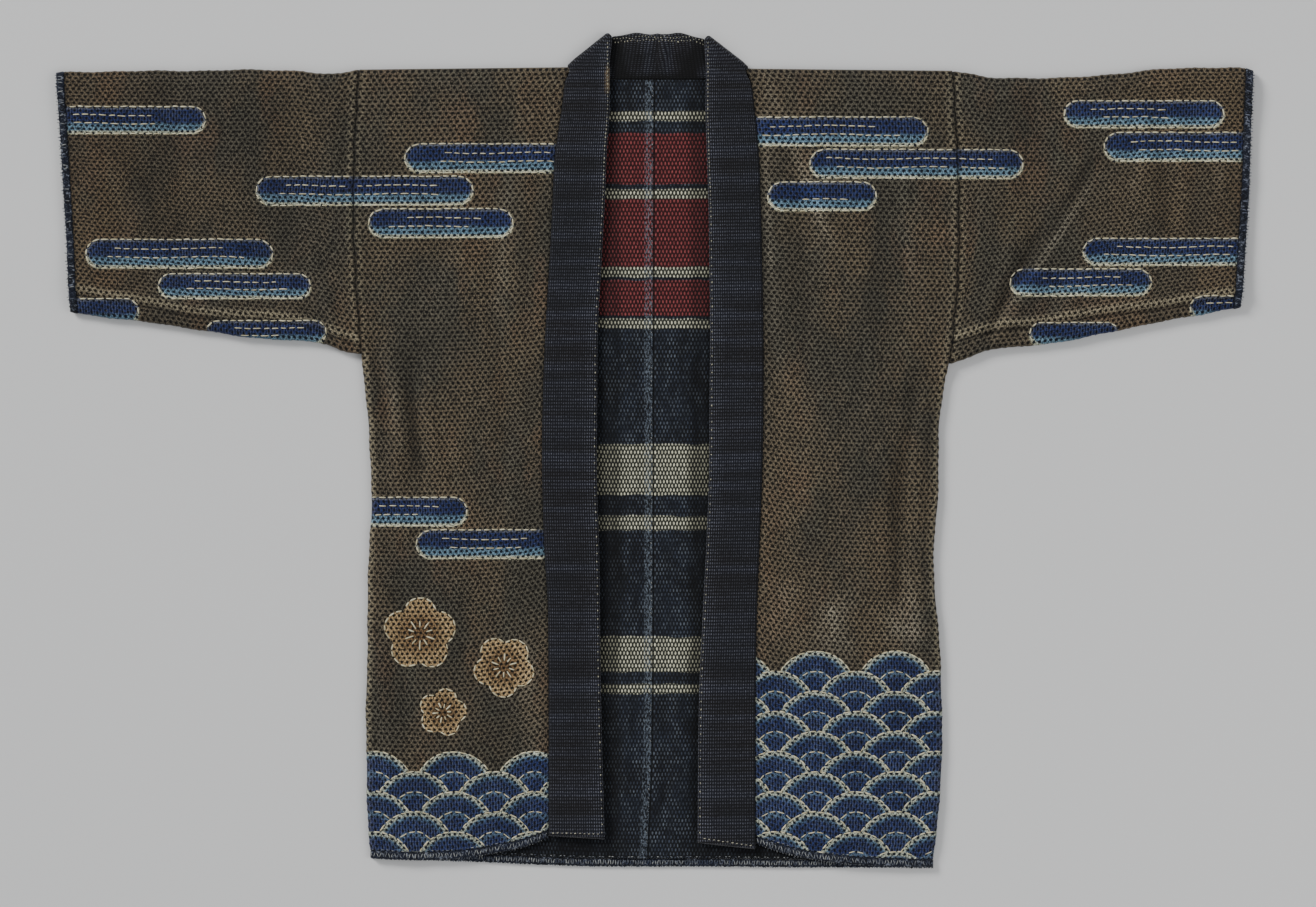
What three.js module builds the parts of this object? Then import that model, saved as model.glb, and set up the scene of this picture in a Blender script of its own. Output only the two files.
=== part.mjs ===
// A firefighter's quilted cotton coat, laid flat on its back with the front up.
// Millimetres. +X is the wearer's left, +Y runs from the hem to the collar, +Z is up, off the surface.
// The back panels lie flat on the surface, the lining lies on them, the fronts lie over the lining, each
// sleeve is a flattened tube, and the collar band folds over at the neck.
import * as THREE from "three";

// Cloth thicknesses and the clear space left between pieces.
const BACK_CLOTH = 2.0;
const LINING_CLOTH = 1.2;
const QUILTED_CLOTH = 3.0;
const BAND_CLOTH = 6.0;
const BAND_SEAM_CLOTH = 4.4;
const BINDING_CLOTH = 3.6;
const SEAM_GAP = 0.35;
const ARMHOLE_GAP = 0.7;
const BAND_GAP = 0.55;
const BACK_HEM_GAP = 0.7;
const LAYER_GAP = 0.3;

// Heights of the middle of each layer above the surface.
const LINING_MID = BACK_CLOTH + LAYER_GAP + LINING_CLOTH / 2;
const FRONT_EDGE_FOOT = BACK_CLOTH + LINING_CLOTH + 2 * LAYER_GAP;
const EDGE_ROLL = 3.8;
const FRONT_MID = FRONT_EDGE_FOOT + EDGE_ROLL;
const BAND_MID = 8.5;
const NECK_STRIP_MID = BAND_CLOTH / 2 + LAYER_GAP;
const BAND_ROLL_FREE = 3.5;
const BAND_ROLL_SEAM = 2.7;

// Widths of the narrow pieces, and of the soft stretches where a height settles to the next one.
const BINDING_WIDTH = 8.2;
const HEM_SETTLE = 26;
const HEM_FALL = 1.6;
const BAND_SETTLE = 30;
const BAND_LIFT = 0.6;
const BAND_RISE_LENGTH = 70;
const SHOULDER_Y = 400;
const HEM_Y = -428;
const BODY_HALF = 310;
const SLEEVE_LENGTH = 310;
const FRONT_WIDTH = 190;
const FRONT_LENGTH = 820;
const UNDERARM_Y = { right: 101.2, left: 90.8 };
const UNDERARM_TURN = 16;
const BACK_NECK_Y = 388.6;
const NECK_CORNER_DROP = 4.6;
const NECK_CORNER_CLEAR = 3.4;

// Outer edge of the body, out from the centre: armhole seam above y 100, side seam below it.
const sideEdge = [
  { y: 402, right: 310, left: 311.5 },
  { y: 325, right: 314.4, left: 316 },
  { y: 250, right: 316, left: 318.2 },
  { y: 180, right: 313.2, left: 317 },
  { y: 108, right: 308, left: 310.5 },
  { y: 74, right: 305.4, left: 304.5 },
  { y: 22, right: 300.3, left: 297.8 },
  { y: -52, right: 297.4, left: 297 },
  { y: -94, right: 299.2, left: 292.6 },
  { y: -136, right: 301.4, left: 293 },
  { y: -215, right: 301.6, left: 299.3 },
  { y: -262, right: 303.3, left: 300.6 },
  { y: -314, right: 302.6, left: 301.2 },
  { y: -367, right: 302.2, left: 298.4 },
  { y: -436, right: 297.8, left: 291.2 },
];

// Collar band on each front, out from the centre: where it is sewn to the front, and its free folded edge.
const bandEdge = [
  { y: 404, rightSeam: 90.4, rightFree: 47.4, leftSeam: 96, leftFree: 53.2 },
  { y: 389, rightSeam: 93.6, rightFree: 47.4, leftSeam: 99.8, leftFree: 53.4 },
  { y: 357, rightSeam: 97.6, rightFree: 47.6, leftSeam: 104.2, leftFree: 53 },
  { y: 309, rightSeam: 104.6, rightFree: 50.8, leftSeam: 108.6, leftFree: 54.4 },
  { y: 262, rightSeam: 107, rightFree: 52.6, leftSeam: 110.4, leftFree: 56 },
  { y: 200, rightSeam: 110.2, rightFree: 56, leftSeam: 111.8, leftFree: 57 },
  { y: 126, rightSeam: 114.5, rightFree: 59.9, leftSeam: 113.2, leftFree: 57.8 },
  { y: 50, rightSeam: 117.4, rightFree: 60.6, leftSeam: 113.2, leftFree: 57.2 },
  { y: -25, rightSeam: 118, rightFree: 61, leftSeam: 112, leftFree: 56.7 },
  { y: -104, rightSeam: 115.6, rightFree: 58.6, leftSeam: 109, leftFree: 53.6 },
  { y: -165, rightSeam: 112, rightFree: 57.8, leftSeam: 106.6, leftFree: 50.4 },
  { y: -262, rightSeam: 111.2, rightFree: 56.6, leftSeam: 105, leftFree: 46.2 },
  { y: -436, rightSeam: 111.2, rightFree: 52, leftSeam: 105, leftFree: 44.6 },
];

// Lower edge of each front's hem, by the distance out from the centre.
const frontHem = [
  { x: 104, right: -403, left: -411.4 },
  { x: 124, right: -410.6, left: -418.8 },
  { x: 140, right: -416.3, left: -423.4 },
  { x: 168, right: -421.8, left: -429 },
  { x: 198, right: -426.6, left: -432.6 },
  { x: 230, right: -428.8, left: -434.8 },
  { x: 268, right: -428.8, left: -436.2 },
  { x: 304, right: -426.6, left: -436.6 },
];

// Lower edge of the back's hem, by x across the whole coat.
const backHem = [
  { x: -304, y: -427.8 },
  { x: -268, y: -429.2 },
  { x: -194, y: -431.2 },
  { x: -154, y: -433 },
  { x: -111, y: -434.8 },
  { x: -56, y: -436.3 },
  { x: 54, y: -436.4 },
  { x: 146, y: -437.3 },
  { x: 262, y: -437.6 },
  { x: 304, y: -438.4 },
];

// Top folded edge and lower folded edge of each sleeve, by the distance out from the centre.
const sleeveEdge = [
  { x: 311, topRight: 399.8, topLeft: 398, bottomRight: 101.2, bottomLeft: 90.8 },
  { x: 328, topRight: 395.4, topLeft: 394.8, bottomRight: 103.6, bottomLeft: 96.4 },
  { x: 346, topRight: 395.4, topLeft: 391.4, bottomRight: 111.2, bottomLeft: 104.4 },
  { x: 373, topRight: 398.4, topLeft: 391, bottomRight: 114.4, bottomLeft: 107.4 },
  { x: 425, topRight: 399.4, topLeft: 391, bottomRight: 118.2, bottomLeft: 113.4 },
  { x: 478, topRight: 398.5, topLeft: 395.2, bottomRight: 125.4, bottomLeft: 123.4 },
  { x: 531, topRight: 398.2, topLeft: 400.4, bottomRight: 133.8, bottomLeft: 134.4 },
  { x: 575, topRight: 397.6, topLeft: 401.8, bottomRight: 138.2, bottomLeft: 141.4 },
  { x: 604, topRight: 397, topLeft: 401.4, bottomRight: 142.6, bottomLeft: 147.6 },
  { x: 628, topRight: 396.6, topLeft: 397.6, bottomRight: 146.4, bottomLeft: 150.6 },
];

// Outer edge of each sleeve's end, out from the centre.
const cuffEdge = [
  { y: 402, right: 628, left: 627.2 },
  { y: 368, right: 625.8, left: 625.6 },
  { y: 302, right: 622, left: 623.6 },
  { y: 254, right: 619, left: 621.6 },
  { y: 206, right: 616.2, left: 618.4 },
  { y: 168, right: 614.2, left: 615.4 },
  { y: 140, right: 612.4, left: 613.2 },
];

// Underarm seam, which shows on the front of each sleeve.
const underarmSeam = [
  { x: 311, right: 110, left: 112 },
  { x: 340, right: 120.4, left: 120.6 },
  { x: 368, right: 130.2, left: 126.5 },
  { x: 398, right: 134.9, left: 128.8 },
  { x: 441, right: 136.4, left: 136 },
  { x: 488, right: 141, left: 143 },
  { x: 527, right: 149.4, left: 147 },
  { x: 574, right: 157.6, left: 155.8 },
  { x: 604, right: 162.8, left: 159.8 },
];
const LINING_FULLNESS = 0.9;
const SLEEVE_FULLNESS = 0.9;
const FOLD_CLEARANCE = 24;
const SEAM_RIDGE_ABOVE = 8;
const SEAM_RIDGE_WIDTH = 5;
const SEAM_RIDGE_HEIGHT = 1.1;

// The largest folds of the cloth. Each is a soft ridge (height above 0) or trough (below 0) along a line.
const folds = {
  front_right: [
    { x0: -255, y0: 90, x1: -251, y1: -30, width: 13, height: -1.6 },
    { x0: -292, y0: 110, x1: -284, y1: 25, width: 9, height: -1.4 },
    { x0: -272, y0: 120, x1: -268, y1: -20, width: 11, height: 1.1 },
    { x0: -190, y0: 350, x1: -205, y1: 150, width: 30, height: 0.9 },
    { x0: -235, y0: 300, x1: -225, y1: 160, width: 20, height: -0.8 },
    { x0: -142, y0: 10, x1: -138, y1: -210, width: 17, height: 0.9 },
    { x0: -165, y0: 180, x1: -160, y1: -60, width: 13, height: -0.9 },
    { x0: -215, y0: -40, x1: -222, y1: -240, width: 24, height: 0.9 },
    { x0: -268, y0: -130, x1: -262, y1: -300, width: 13, height: -1.0 },
    { x0: -180, y0: -250, x1: -190, y1: -425, width: 18, height: 0.9 },
    { x0: -238, y0: -330, x1: -232, y1: -428, width: 14, height: -0.9 },
    { x0: -148, y0: -330, x1: -146, y1: -420, width: 12, height: -0.9 },
  ],
  front_left: [
    { x0: 253, y0: -25, x1: 257, y1: -165, width: 12, height: -1.6 },
    { x0: 271, y0: 60, x1: 262, y1: -25, width: 10, height: -1.4 },
    { x0: 279, y0: 40, x1: 276, y1: -150, width: 9, height: 1.0 },
    { x0: 119, y0: 360, x1: 142, y1: 100, width: 13, height: 1.0 },
    { x0: 146, y0: 300, x1: 162, y1: 70, width: 12, height: -0.9 },
    { x0: 205, y0: 340, x1: 214, y1: 120, width: 28, height: 0.9 },
    { x0: 236, y0: 70, x1: 226, y1: -120, width: 15, height: 0.8 },
    { x0: 165, y0: -20, x1: 172, y1: -220, width: 22, height: 0.9 },
    { x0: 136, y0: -90, x1: 132, y1: -260, width: 12, height: -0.9 },
    { x0: 262, y0: -230, x1: 268, y1: -400, width: 15, height: -0.8 },
    { x0: 196, y0: -290, x1: 204, y1: -430, width: 20, height: 0.9 },
    { x0: 240, y0: 250, x1: 286, y1: 130, width: 15, height: -0.9 },
  ],
  sleeve_right: [
    { x0: -538, y0: 250, x1: -548, y1: 185, width: 14, height: 1.2 },
    { x0: -372, y0: 150, x1: -336, y1: 112, width: 9, height: -1.4 },
    { x0: -350, y0: 175, x1: -326, y1: 118, width: 8, height: 1.2 },
    { x0: -455, y0: 385, x1: -450, y1: 170, width: 26, height: 0.9 },
    { x0: -505, y0: 370, x1: -500, y1: 200, width: 18, height: -0.8 },
    { x0: -385, y0: 385, x1: -392, y1: 215, width: 20, height: -0.8 },
    { x0: -590, y0: 360, x1: -580, y1: 190, width: 15, height: 0.8 },
  ],
  sleeve_left: [
    { x0: 398, y0: 222, x1: 345, y1: 108, width: 8, height: -1.7 },
    { x0: 414, y0: 214, x1: 362, y1: 118, width: 10, height: 1.3 },
    { x0: 516, y0: 350, x1: 524, y1: 215, width: 14, height: 1.1 },
    { x0: 545, y0: 345, x1: 552, y1: 215, width: 11, height: 1.0 },
    { x0: 531, y0: 350, x1: 538, y1: 215, width: 9, height: -0.8 },
    { x0: 450, y0: 375, x1: 458, y1: 200, width: 24, height: 0.8 },
    { x0: 384, y0: 370, x1: 392, y1: 240, width: 16, height: -0.8 },
    { x0: 590, y0: 360, x1: 584, y1: 200, width: 15, height: 0.7 },
  ],
  lining: [
    { x0: -44, y0: -140, x1: -46, y1: -430, width: 7, height: -0.9 },
    { x0: -28, y0: -160, x1: -32, y1: -430, width: 9, height: 0.9 },
    { x0: 42, y0: -140, x1: 38, y1: -430, width: 7, height: -0.9 },
    { x0: 24, y0: -170, x1: 22, y1: -430, width: 9, height: 0.9 },
    { x0: -26, y0: 120, x1: -24, y1: -110, width: 12, height: 0.7 },
    { x0: 30, y0: 110, x1: 28, y1: -100, width: 12, height: 0.7 },
  ],
};

const clamp01 = (value) => Math.min(1, Math.max(0, value));
const mix = (from, to, share) => from + (to - from) * share;

function ease(from, to, value) {
  const share = clamp01((value - from) / (to - from));
  return share * share * (3 - 2 * share);
}

// Reads a column of a table at a place, on a smooth curve through its rows (Catmull-Rom slopes).
function along(rows, placeColumn, place, column) {
  const ordered = rows[0][placeColumn] < rows[rows.length - 1][placeColumn] ? rows : [...rows].reverse();
  const last = ordered.length - 1;
  if (place <= ordered[0][placeColumn]) return ordered[0][column];
  if (place >= ordered[last][placeColumn]) return ordered[last][column];
  const next = ordered.findIndex((row) => row[placeColumn] > place);
  const slopeAt = (index) => {
    const before = ordered[Math.max(0, index - 1)];
    const after = ordered[Math.min(last, index + 1)];
    return (after[column] - before[column]) / (after[placeColumn] - before[placeColumn]);
  };
  const start = ordered[next - 1];
  const end = ordered[next];
  const span = end[placeColumn] - start[placeColumn];
  const t = (place - start[placeColumn]) / span;
  const startWeight = 1 - 3 * t * t + 2 * t * t * t;
  const startSlope = (t - 2 * t * t + t * t * t) * span * slopeAt(next - 1);
  const endSlope = (t * t * t - t * t) * span * slopeAt(next);
  return start[column] * startWeight + end[column] * (1 - startWeight) + startSlope + endSlope;
}

// Height that the folds of one piece add at a point.
function foldHeight(rows, x, y) {
  let height = 0;
  for (const fold of rows) {
    const lineX = fold.x1 - fold.x0;
    const lineY = fold.y1 - fold.y0;
    const length = Math.hypot(lineX, lineY);
    const onLine = ((x - fold.x0) * lineX + (y - fold.y0) * lineY) / length;
    const offLine = ((x - fold.x0) * lineY - (y - fold.y0) * lineX) / length;
    const across = Math.exp(-((offLine / fold.width) ** 2));
    const fade = ease(-0.35, 0.25, onLine / length) * (1 - ease(0.75, 1.35, onLine / length));
    height += fold.height * across * fade;
  }
  return height;
}

// Turns the triangles round where a mapped shape faces inwards.
function facingOut(geometry) {
  const position = geometry.getAttribute("position");
  const index = geometry.getIndex();
  const corners = [0, 1, 2].map(() => new THREE.Vector3());
  let volume = 0;
  for (let i = 0; i < index.count; i += 3) {
    corners.forEach((corner, k) => corner.fromBufferAttribute(position, index.getX(i + k)));
    volume += corners[0].dot(corners[1].clone().cross(corners[2]));
  }
  if (volume < 0) {
    for (let i = 0; i < index.count; i += 3) {
      const second = index.getX(i + 1);
      index.setX(i + 1, index.getX(i + 2));
      index.setX(i + 2, second);
    }
  }
  geometry.deleteAttribute("uv");
  geometry.computeVertexNormals();
  return geometry;
}

// A point of a cloth wall: the middle surface at (u, v), moved along its own normal.
function wallPoint(middle, u, v, side, thickness) {
  const step = 1e-4;
  const du = u + step > 1 ? -step : step;
  const dv = v + step > 1 ? -step : step;
  const point = middle(u, v);
  const alongU = middle(u + du, v).sub(point).divideScalar(du);
  const alongV = middle(u, v + dv).sub(point).divideScalar(dv);
  const normal = alongU.cross(alongV).normalize();
  return point.addScaledVector(normal, side * thickness);
}

// A cloth panel: a thin box whose corners are moved on to both faces of the middle surface.
function panel(uStops, vStops, middle, thicknessAt) {
  const geometry = new THREE.BoxGeometry(1, 1, 1, uStops.length - 1, vStops.length - 1, 1);
  const position = geometry.getAttribute("position");
  for (let i = 0; i < position.count; i++) {
    const u = uStops[Math.round((position.getX(i) + 0.5) * (uStops.length - 1))];
    const v = vStops[Math.round((position.getY(i) + 0.5) * (vStops.length - 1))];
    const point = wallPoint(middle, u, v, position.getZ(i), thicknessAt(u, v));
    position.setXYZ(i, point.x, point.y, point.z);
  }
  return facingOut(geometry);
}

// A cloth tube: a turned ring with a closed rectangular profile, whose corners are moved on to both faces
// of the middle surface. u runs along the tube and v once round it.
function tube(uStops, vStops, middle, thicknessAt) {
  const profile = uStops.map((u) => new THREE.Vector2(2, u));
  profile.push(...[...uStops].reverse().map((u) => new THREE.Vector2(1, u)), new THREE.Vector2(2, uStops[0]));
  const geometry = new THREE.LatheGeometry(profile, vStops.length - 1);
  const position = geometry.getAttribute("position");
  const round = (v) => v - Math.floor(v);
  const closed = (u, v) => middle(u, round(v));
  for (let i = 0; i < position.count; i++) {
    const { x: radius, y: u } = profile[i % profile.length];
    const v = vStops[Math.floor(i / profile.length)] % 1;
    const point = wallPoint(closed, u, v, radius - 1.5, thicknessAt(u, v));
    position.setXYZ(i, point.x, point.y, point.z);
  }
  return facingOut(geometry);
}

// Even stops from 0 to 1, with extra ones close to either end.
function stops(count, nearStart = [], nearEnd = []) {
  const even = Array.from({ length: count + 1 }, (_, i) => i / count);
  const clearOfStart = nearStart.length ? Math.max(...nearStart) + 0.3 / count : -1;
  const clearOfEnd = nearEnd.length ? 1 - Math.max(...nearEnd) - 0.3 / count : 2;
  const inner = even.filter((v) => v > clearOfStart && v < clearOfEnd);
  return [...new Set([0, ...nearStart, ...inner, ...nearEnd.map((v) => 1 - v), 1])].sort((a, b) => a - b);
}

// The quarter turn of a folded edge: distance from the edge gives how far in and how far up the cloth is.
function rolledEdge(distance, radius) {
  const angle = Math.min(Math.PI / 2, distance / radius);
  const inward = radius * (1 - Math.cos(angle)) + Math.max(0, distance - (radius * Math.PI) / 2);
  return { inward, rise: Math.sin(angle) };
}

// The shoulder fold rises a little from the armhole to the collar.
const shoulderRise = { right: { armhole: 399.6, centre: 403.2 }, left: { armhole: 398.4, centre: 401.6 } };
const shoulderY = (side, x) => mix(shoulderRise[side].centre, shoulderRise[side].armhole, x / BODY_HALF);

// The centre back seam wanders a little to the wearer's right, most at the hem.
const centreSeam = [
  { y: 390, x: -0.4 },
  { y: 100, x: -1.4 },
  { y: -300, x: -2.6 },
  { y: -432, x: -7.6 },
];

// One front, from its rolled side seam (u 0) to the collar band (u 1), and from the shoulder fold (v 0) to
// the hem binding (v 1). Along the armhole it stays level and meets the sleeve.
function frontMiddle(side, sign) {
  return (u, v) => {
    const sideDistance = u * FRONT_WIDTH;
    const yFirst = mix(SHOULDER_Y, HEM_Y, v);
    const xFirst = mix(along(sideEdge, "y", yFirst, side), along(bandEdge, "y", yFirst, side + "Seam"), u);
    const top = shoulderY(side, xFirst) - QUILTED_CLOTH / 2;
    const hem = along(frontHem, "x", xFirst, side) + BINDING_WIDTH + SEAM_GAP;
    const shoulder = rolledEdge(v * (top - hem), EDGE_ROLL);
    const stretch = (top - hem) / rolledEdge(top - hem, EDGE_ROLL).inward;
    const y = top - shoulder.inward * stretch;

    const rollShare = 1 - ease(UNDERARM_Y[side] - UNDERARM_TURN, UNDERARM_Y[side], y);
    const rolled = rolledEdge(sideDistance, EDGE_ROLL);
    const edgeInset = mix(ARMHOLE_GAP / 2, QUILTED_CLOTH / 2, rollShare);
    const outer = along(sideEdge, "y", y, side) - edgeInset;
    const neckCorner = NECK_CORNER_CLEAR * ease(SHOULDER_Y - 8, SHOULDER_Y + 2, y);
    const inner = along(bandEdge, "y", y, side + "Seam") + BAND_GAP + neckCorner;
    const x = mix(outer, inner, mix(u, rolled.inward / rolledEdge(FRONT_WIDTH, EDGE_ROLL).inward, rollShare));

    const fall = Math.min(1, Math.hypot(rollShare * (1 - rolled.rise), 1 - shoulder.rise));
    const nearBand = BAND_LIFT * ease(inner + BAND_SETTLE, inner, x);
    const nearHem = HEM_FALL * ease(hem + HEM_SETTLE, hem, y);
    const clearOfSide = mix(1, ease(0, FOLD_CLEARANCE, sideDistance), rollShare);
    const clearOfEnds = ease(0, FOLD_CLEARANCE, top - y) * (1 - 0.5 * ease(hem + FOLD_CLEARANCE, hem, y));
    const folded = foldHeight(folds["front_" + side], sign * x, y) * clearOfSide * clearOfEnds;
    const z = FRONT_EDGE_FOOT + (EDGE_ROLL + nearBand - nearHem) * (1 - fall) + folded;
    return new THREE.Vector3(sign * x, y, z);
  };
}

// A binding sewn round the hem: it carries on from the hem line of the panel's middle surface.
function bindingMiddle(panelMiddle) {
  return (u, v) => {
    const point = panelMiddle(u, 1);
    point.y -= SEAM_GAP + v * BINDING_WIDTH;
    return point;
  };
}

// Top edge of the back: the shoulder fold, cut away round the folded band, then the back of the neck.
function backTop(side, x) {
  const corner = bandFold[side].seam.x;
  const shoulder = shoulderY(side, x);
  const cornerCut = NECK_CORNER_DROP * ease(corner + 12, corner + 5, x);
  const neckCut = (shoulder - NECK_CORNER_DROP - BACK_NECK_Y) * ease(corner - 4, corner - 42, x);
  return shoulder - cornerCut - neckCut;
}

// One half of the back or of its lining, from the side (u 0) to the centre (u 1).
function backMiddle(side, sign, heightAt) {
  return (u, v) => {
    const xFirst = mix(along(sideEdge, "y", mix(SHOULDER_Y, HEM_Y, v), side), 0, u);
    const hem = along(backHem, "x", sign * xFirst, "y") + BINDING_WIDTH + BACK_HEM_GAP;
    const y = mix(backTop(side, xFirst), hem, v);
    const centre = sign * along(centreSeam, "y", y, "x") + SEAM_GAP / 2;
    const x = mix(along(sideEdge, "y", y, side) - ARMHOLE_GAP / 2, centre, u);
    return new THREE.Vector3(sign * x, y, heightAt(sign * x, y));
  };
}

// Outline of a flattened sleeve at one station: v 0 to 0.5 runs along the back from the top fold to the lower
// fold, and v 0.5 to 1 comes back along the front.
const SLEEVE_BACK_MID = QUILTED_CLOTH / 2;
const SLEEVE_ROLL = (FRONT_MID - SLEEVE_BACK_MID) / 2;
const SLEEVE_MIDDLE = SLEEVE_BACK_MID + SLEEVE_ROLL;
const FOLD_SHARE = 0.03;
const ARMHOLE_SHARE = 0.05;

function sleeveMiddle(side, sign, from, to) {
  const name = side === "right" ? "Right" : "Left";
  return (u, v) => {
    const share = mix(from, to, u);
    const down = v < 0.5 ? v * 2 : (1 - v) * 2;
    const xFirst = BODY_HALF + share * SLEEVE_LENGTH;
    const top = along(sleeveEdge, "x", xFirst, "top" + name) - QUILTED_CLOTH / 2;
    const bottom = along(sleeveEdge, "x", xFirst, "bottom" + name) + QUILTED_CLOTH / 2;
    const turn = Math.min(1, Math.min(down, 1 - down) / FOLD_SHARE) * (Math.PI / 2);
    const inward = SLEEVE_ROLL * (1 - Math.cos(turn));
    const straight = clamp01((down - FOLD_SHARE) / (1 - 2 * FOLD_SHARE));
    const y = mix(top - inward, bottom + inward, straight);
    const armhole = along(sideEdge, "y", y, side) + ARMHOLE_GAP / 2;
    const x = mix(armhole, along(cuffEdge, "y", y, side), share);
    const lift = SLEEVE_ROLL * Math.sin(turn);
    if (v < 0.5) return new THREE.Vector3(sign * x, y, SLEEVE_MIDDLE - lift);

    const nearFolds = 1 - ease(0.06, 0.3, down) * ease(0.94, 0.7, down);
    const fullness = SLEEVE_FULLNESS * nearFolds * ease(0, 0.06, down) * ease(1, 0.94, down);
    const seamY = along(underarmSeam, "x", x, side) + SEAM_RIDGE_ABOVE;
    const ridge = SEAM_RIDGE_HEIGHT * Math.exp(-(((y - seamY) / SEAM_RIDGE_WIDTH) ** 2));
    const soft = ease(top, top - FOLD_CLEARANCE, y) * ease(bottom, bottom + FOLD_CLEARANCE / 2, y);
    const folded = foldHeight(folds["sleeve_" + side], sign * x, y) * soft;
    const raised = (fullness + ridge + folded) * ease(0, ARMHOLE_SHARE, share);
    return new THREE.Vector3(sign * x, y, SLEEVE_MIDDLE + lift + raised);
  };
}

const foldStops = [0.25, 0.5, 0.75, 1].map((share) => share * FOLD_SHARE);
const sleeveSideStops = (count) => stops(count, foldStops, foldStops);
const sleeveRound = (backCount, frontCount) => [
  ...sleeveSideStops(backCount).map((v) => v / 2),
  ...sleeveSideStops(frontCount)
    .slice(1)
    .map((v) => 0.5 + v / 2),
];

// The collar band, as rows across it, each from the seam to the free edge. At the neck the band folds over a
// slanting line, and then runs across the back of the neck with its inner side up.
const BAND_FRONT_ROWS = 20;
const BAND_FOLD_ROWS = 8;
const BAND_NECK_ROWS = 5;
const BAND_ROWS = BAND_FRONT_ROWS + BAND_FOLD_ROWS + BAND_NECK_ROWS;
const BAND_CROWN = 0.5;
const NECK_CENTRE_X = 2.6;
const NECK_WAVE = 1.4;
const bandHemY = { right: { seam: -403.6, free: -407.4 }, left: { seam: -417.6, free: -411 } };
const bandFold = {
  right: { seam: { x: 89.6, y: 399.4 }, free: { x: 45.2, y: 433.6 } },
  left: { seam: { x: 95.4, y: 398.2 }, free: { x: 51.8, y: 430.8 } },
};
const NECK_SEAM_Y = BACK_NECK_Y + 1;
const NECK_FREE_Y = 437.6;

// A front row: level, then rising to the top of the fold and slanting to its line near the neck.
function bandFrontPoint(side, sign, share, across) {
  const fold = bandFold[side];
  const seamY = mix(bandHemY[side].seam, fold.seam.y, share);
  const freeY = mix(bandHemY[side].free, fold.free.y, share);
  const seamTurn = ease(fold.seam.y - 14, fold.seam.y, seamY);
  const freeTurn = ease(fold.free.y - 30, fold.free.y, freeY);
  const seamX = mix(along(bandEdge, "y", seamY, side + "Seam"), fold.seam.x, seamTurn);
  const freeX = mix(along(bandEdge, "y", freeY, side + "Free"), fold.free.x, freeTurn);
  const rise = ease(fold.seam.y - BAND_RISE_LENGTH, fold.seam.y, seamY);
  const level = BAND_MID + BAND_CROWN * Math.sin(Math.PI * across);
  const foldTop = NECK_STRIP_MID + 2 * mix(BAND_ROLL_SEAM, BAND_ROLL_FREE, across);
  const x = sign * mix(seamX, freeX, across);
  return new THREE.Vector3(x, mix(seamY, freeY, across), mix(level, foldTop, rise));
}

// A row of the half turn over the slanting fold line.
function bandFoldPoint(side, sign, share, across) {
  const { seam, free } = bandFold[side];
  const roll = mix(BAND_ROLL_SEAM, BAND_ROLL_FREE, across);
  const outward = new THREE.Vector3(sign * (free.y - seam.y), seam.x - free.x, 0).normalize();
  const point = new THREE.Vector3(sign * mix(seam.x, free.x, across), mix(seam.y, free.y, across), 0);
  point.addScaledVector(outward, roll * Math.sin(Math.PI * share));
  point.z = NECK_STRIP_MID + roll + roll * Math.cos(Math.PI * share);
  return point;
}

// A row of the strip along the back of the neck.
function bandNeckPoint(side, sign, share, across) {
  const { seam, free } = bandFold[side];
  const seamX = mix(sign * seam.x, NECK_CENTRE_X, share);
  const freeX = mix(sign * free.x, NECK_CENTRE_X, share);
  const seamY = mix(seam.y, NECK_SEAM_Y, ease(0, 0.45, share));
  const wave = NECK_WAVE * Math.sin(3 * Math.PI * share) * share;
  const freeY = mix(free.y, NECK_FREE_Y, ease(-0.2, 0.6, share)) - wave;
  return new THREE.Vector3(mix(seamX, freeX, across), mix(seamY, freeY, across), NECK_STRIP_MID);
}

function bandMiddle(u, v) {
  const [side, sign] = u <= 0.5 ? ["right", -1] : ["left", 1];
  const row = (1 - Math.abs(2 * u - 1)) * BAND_ROWS;
  if (row <= BAND_FRONT_ROWS) return bandFrontPoint(side, sign, row / BAND_FRONT_ROWS, v);
  const foldRow = row - BAND_FRONT_ROWS;
  if (foldRow <= BAND_FOLD_ROWS) return bandFoldPoint(side, sign, foldRow / BAND_FOLD_ROWS, v);
  return bandNeckPoint(side, sign, (foldRow - BAND_FOLD_ROWS) / BAND_NECK_ROWS, v);
}

const cloth = (color, roughness) => new THREE.MeshStandardMaterial({ color, roughness, metalness: 0 });
const quiltedBrown = cloth(0x4b4437, 0.95);
const indigoLining = cloth(0x1c2330, 0.95);
const navyBand = cloth(0x232634, 0.9);
const blueBinding = cloth(0x283c5a, 0.95);

const coat = new THREE.Group();

function addPiece(name, geometry, material) {
  const mesh = new THREE.Mesh(geometry, material);
  mesh.name = name;
  coat.add(mesh);
}

const SIDES = [
  ["right", -1],
  ["left", 1],
];
const ROLL_SHARES = [0.3, 0.6, 1, 1.6];
const edgeRoll = (length) => ROLL_SHARES.map((share) => (share * EDGE_ROLL * Math.PI) / 2 / length);

// Stops across half the back that follow its cut round the neck, and then the ones near the centre.
const NECK_OFFSETS = [12, 5, -4, -16, -29, -42];

function backAcross(side, nearCentre) {
  const neck = NECK_OFFSETS.map((offset) => 1 - (bandFold[side].seam.x + offset) / BODY_HALF);
  return [...stops(7).filter((u) => u < neck[0] - 0.05), ...neck, ...nearCentre];
}

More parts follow.
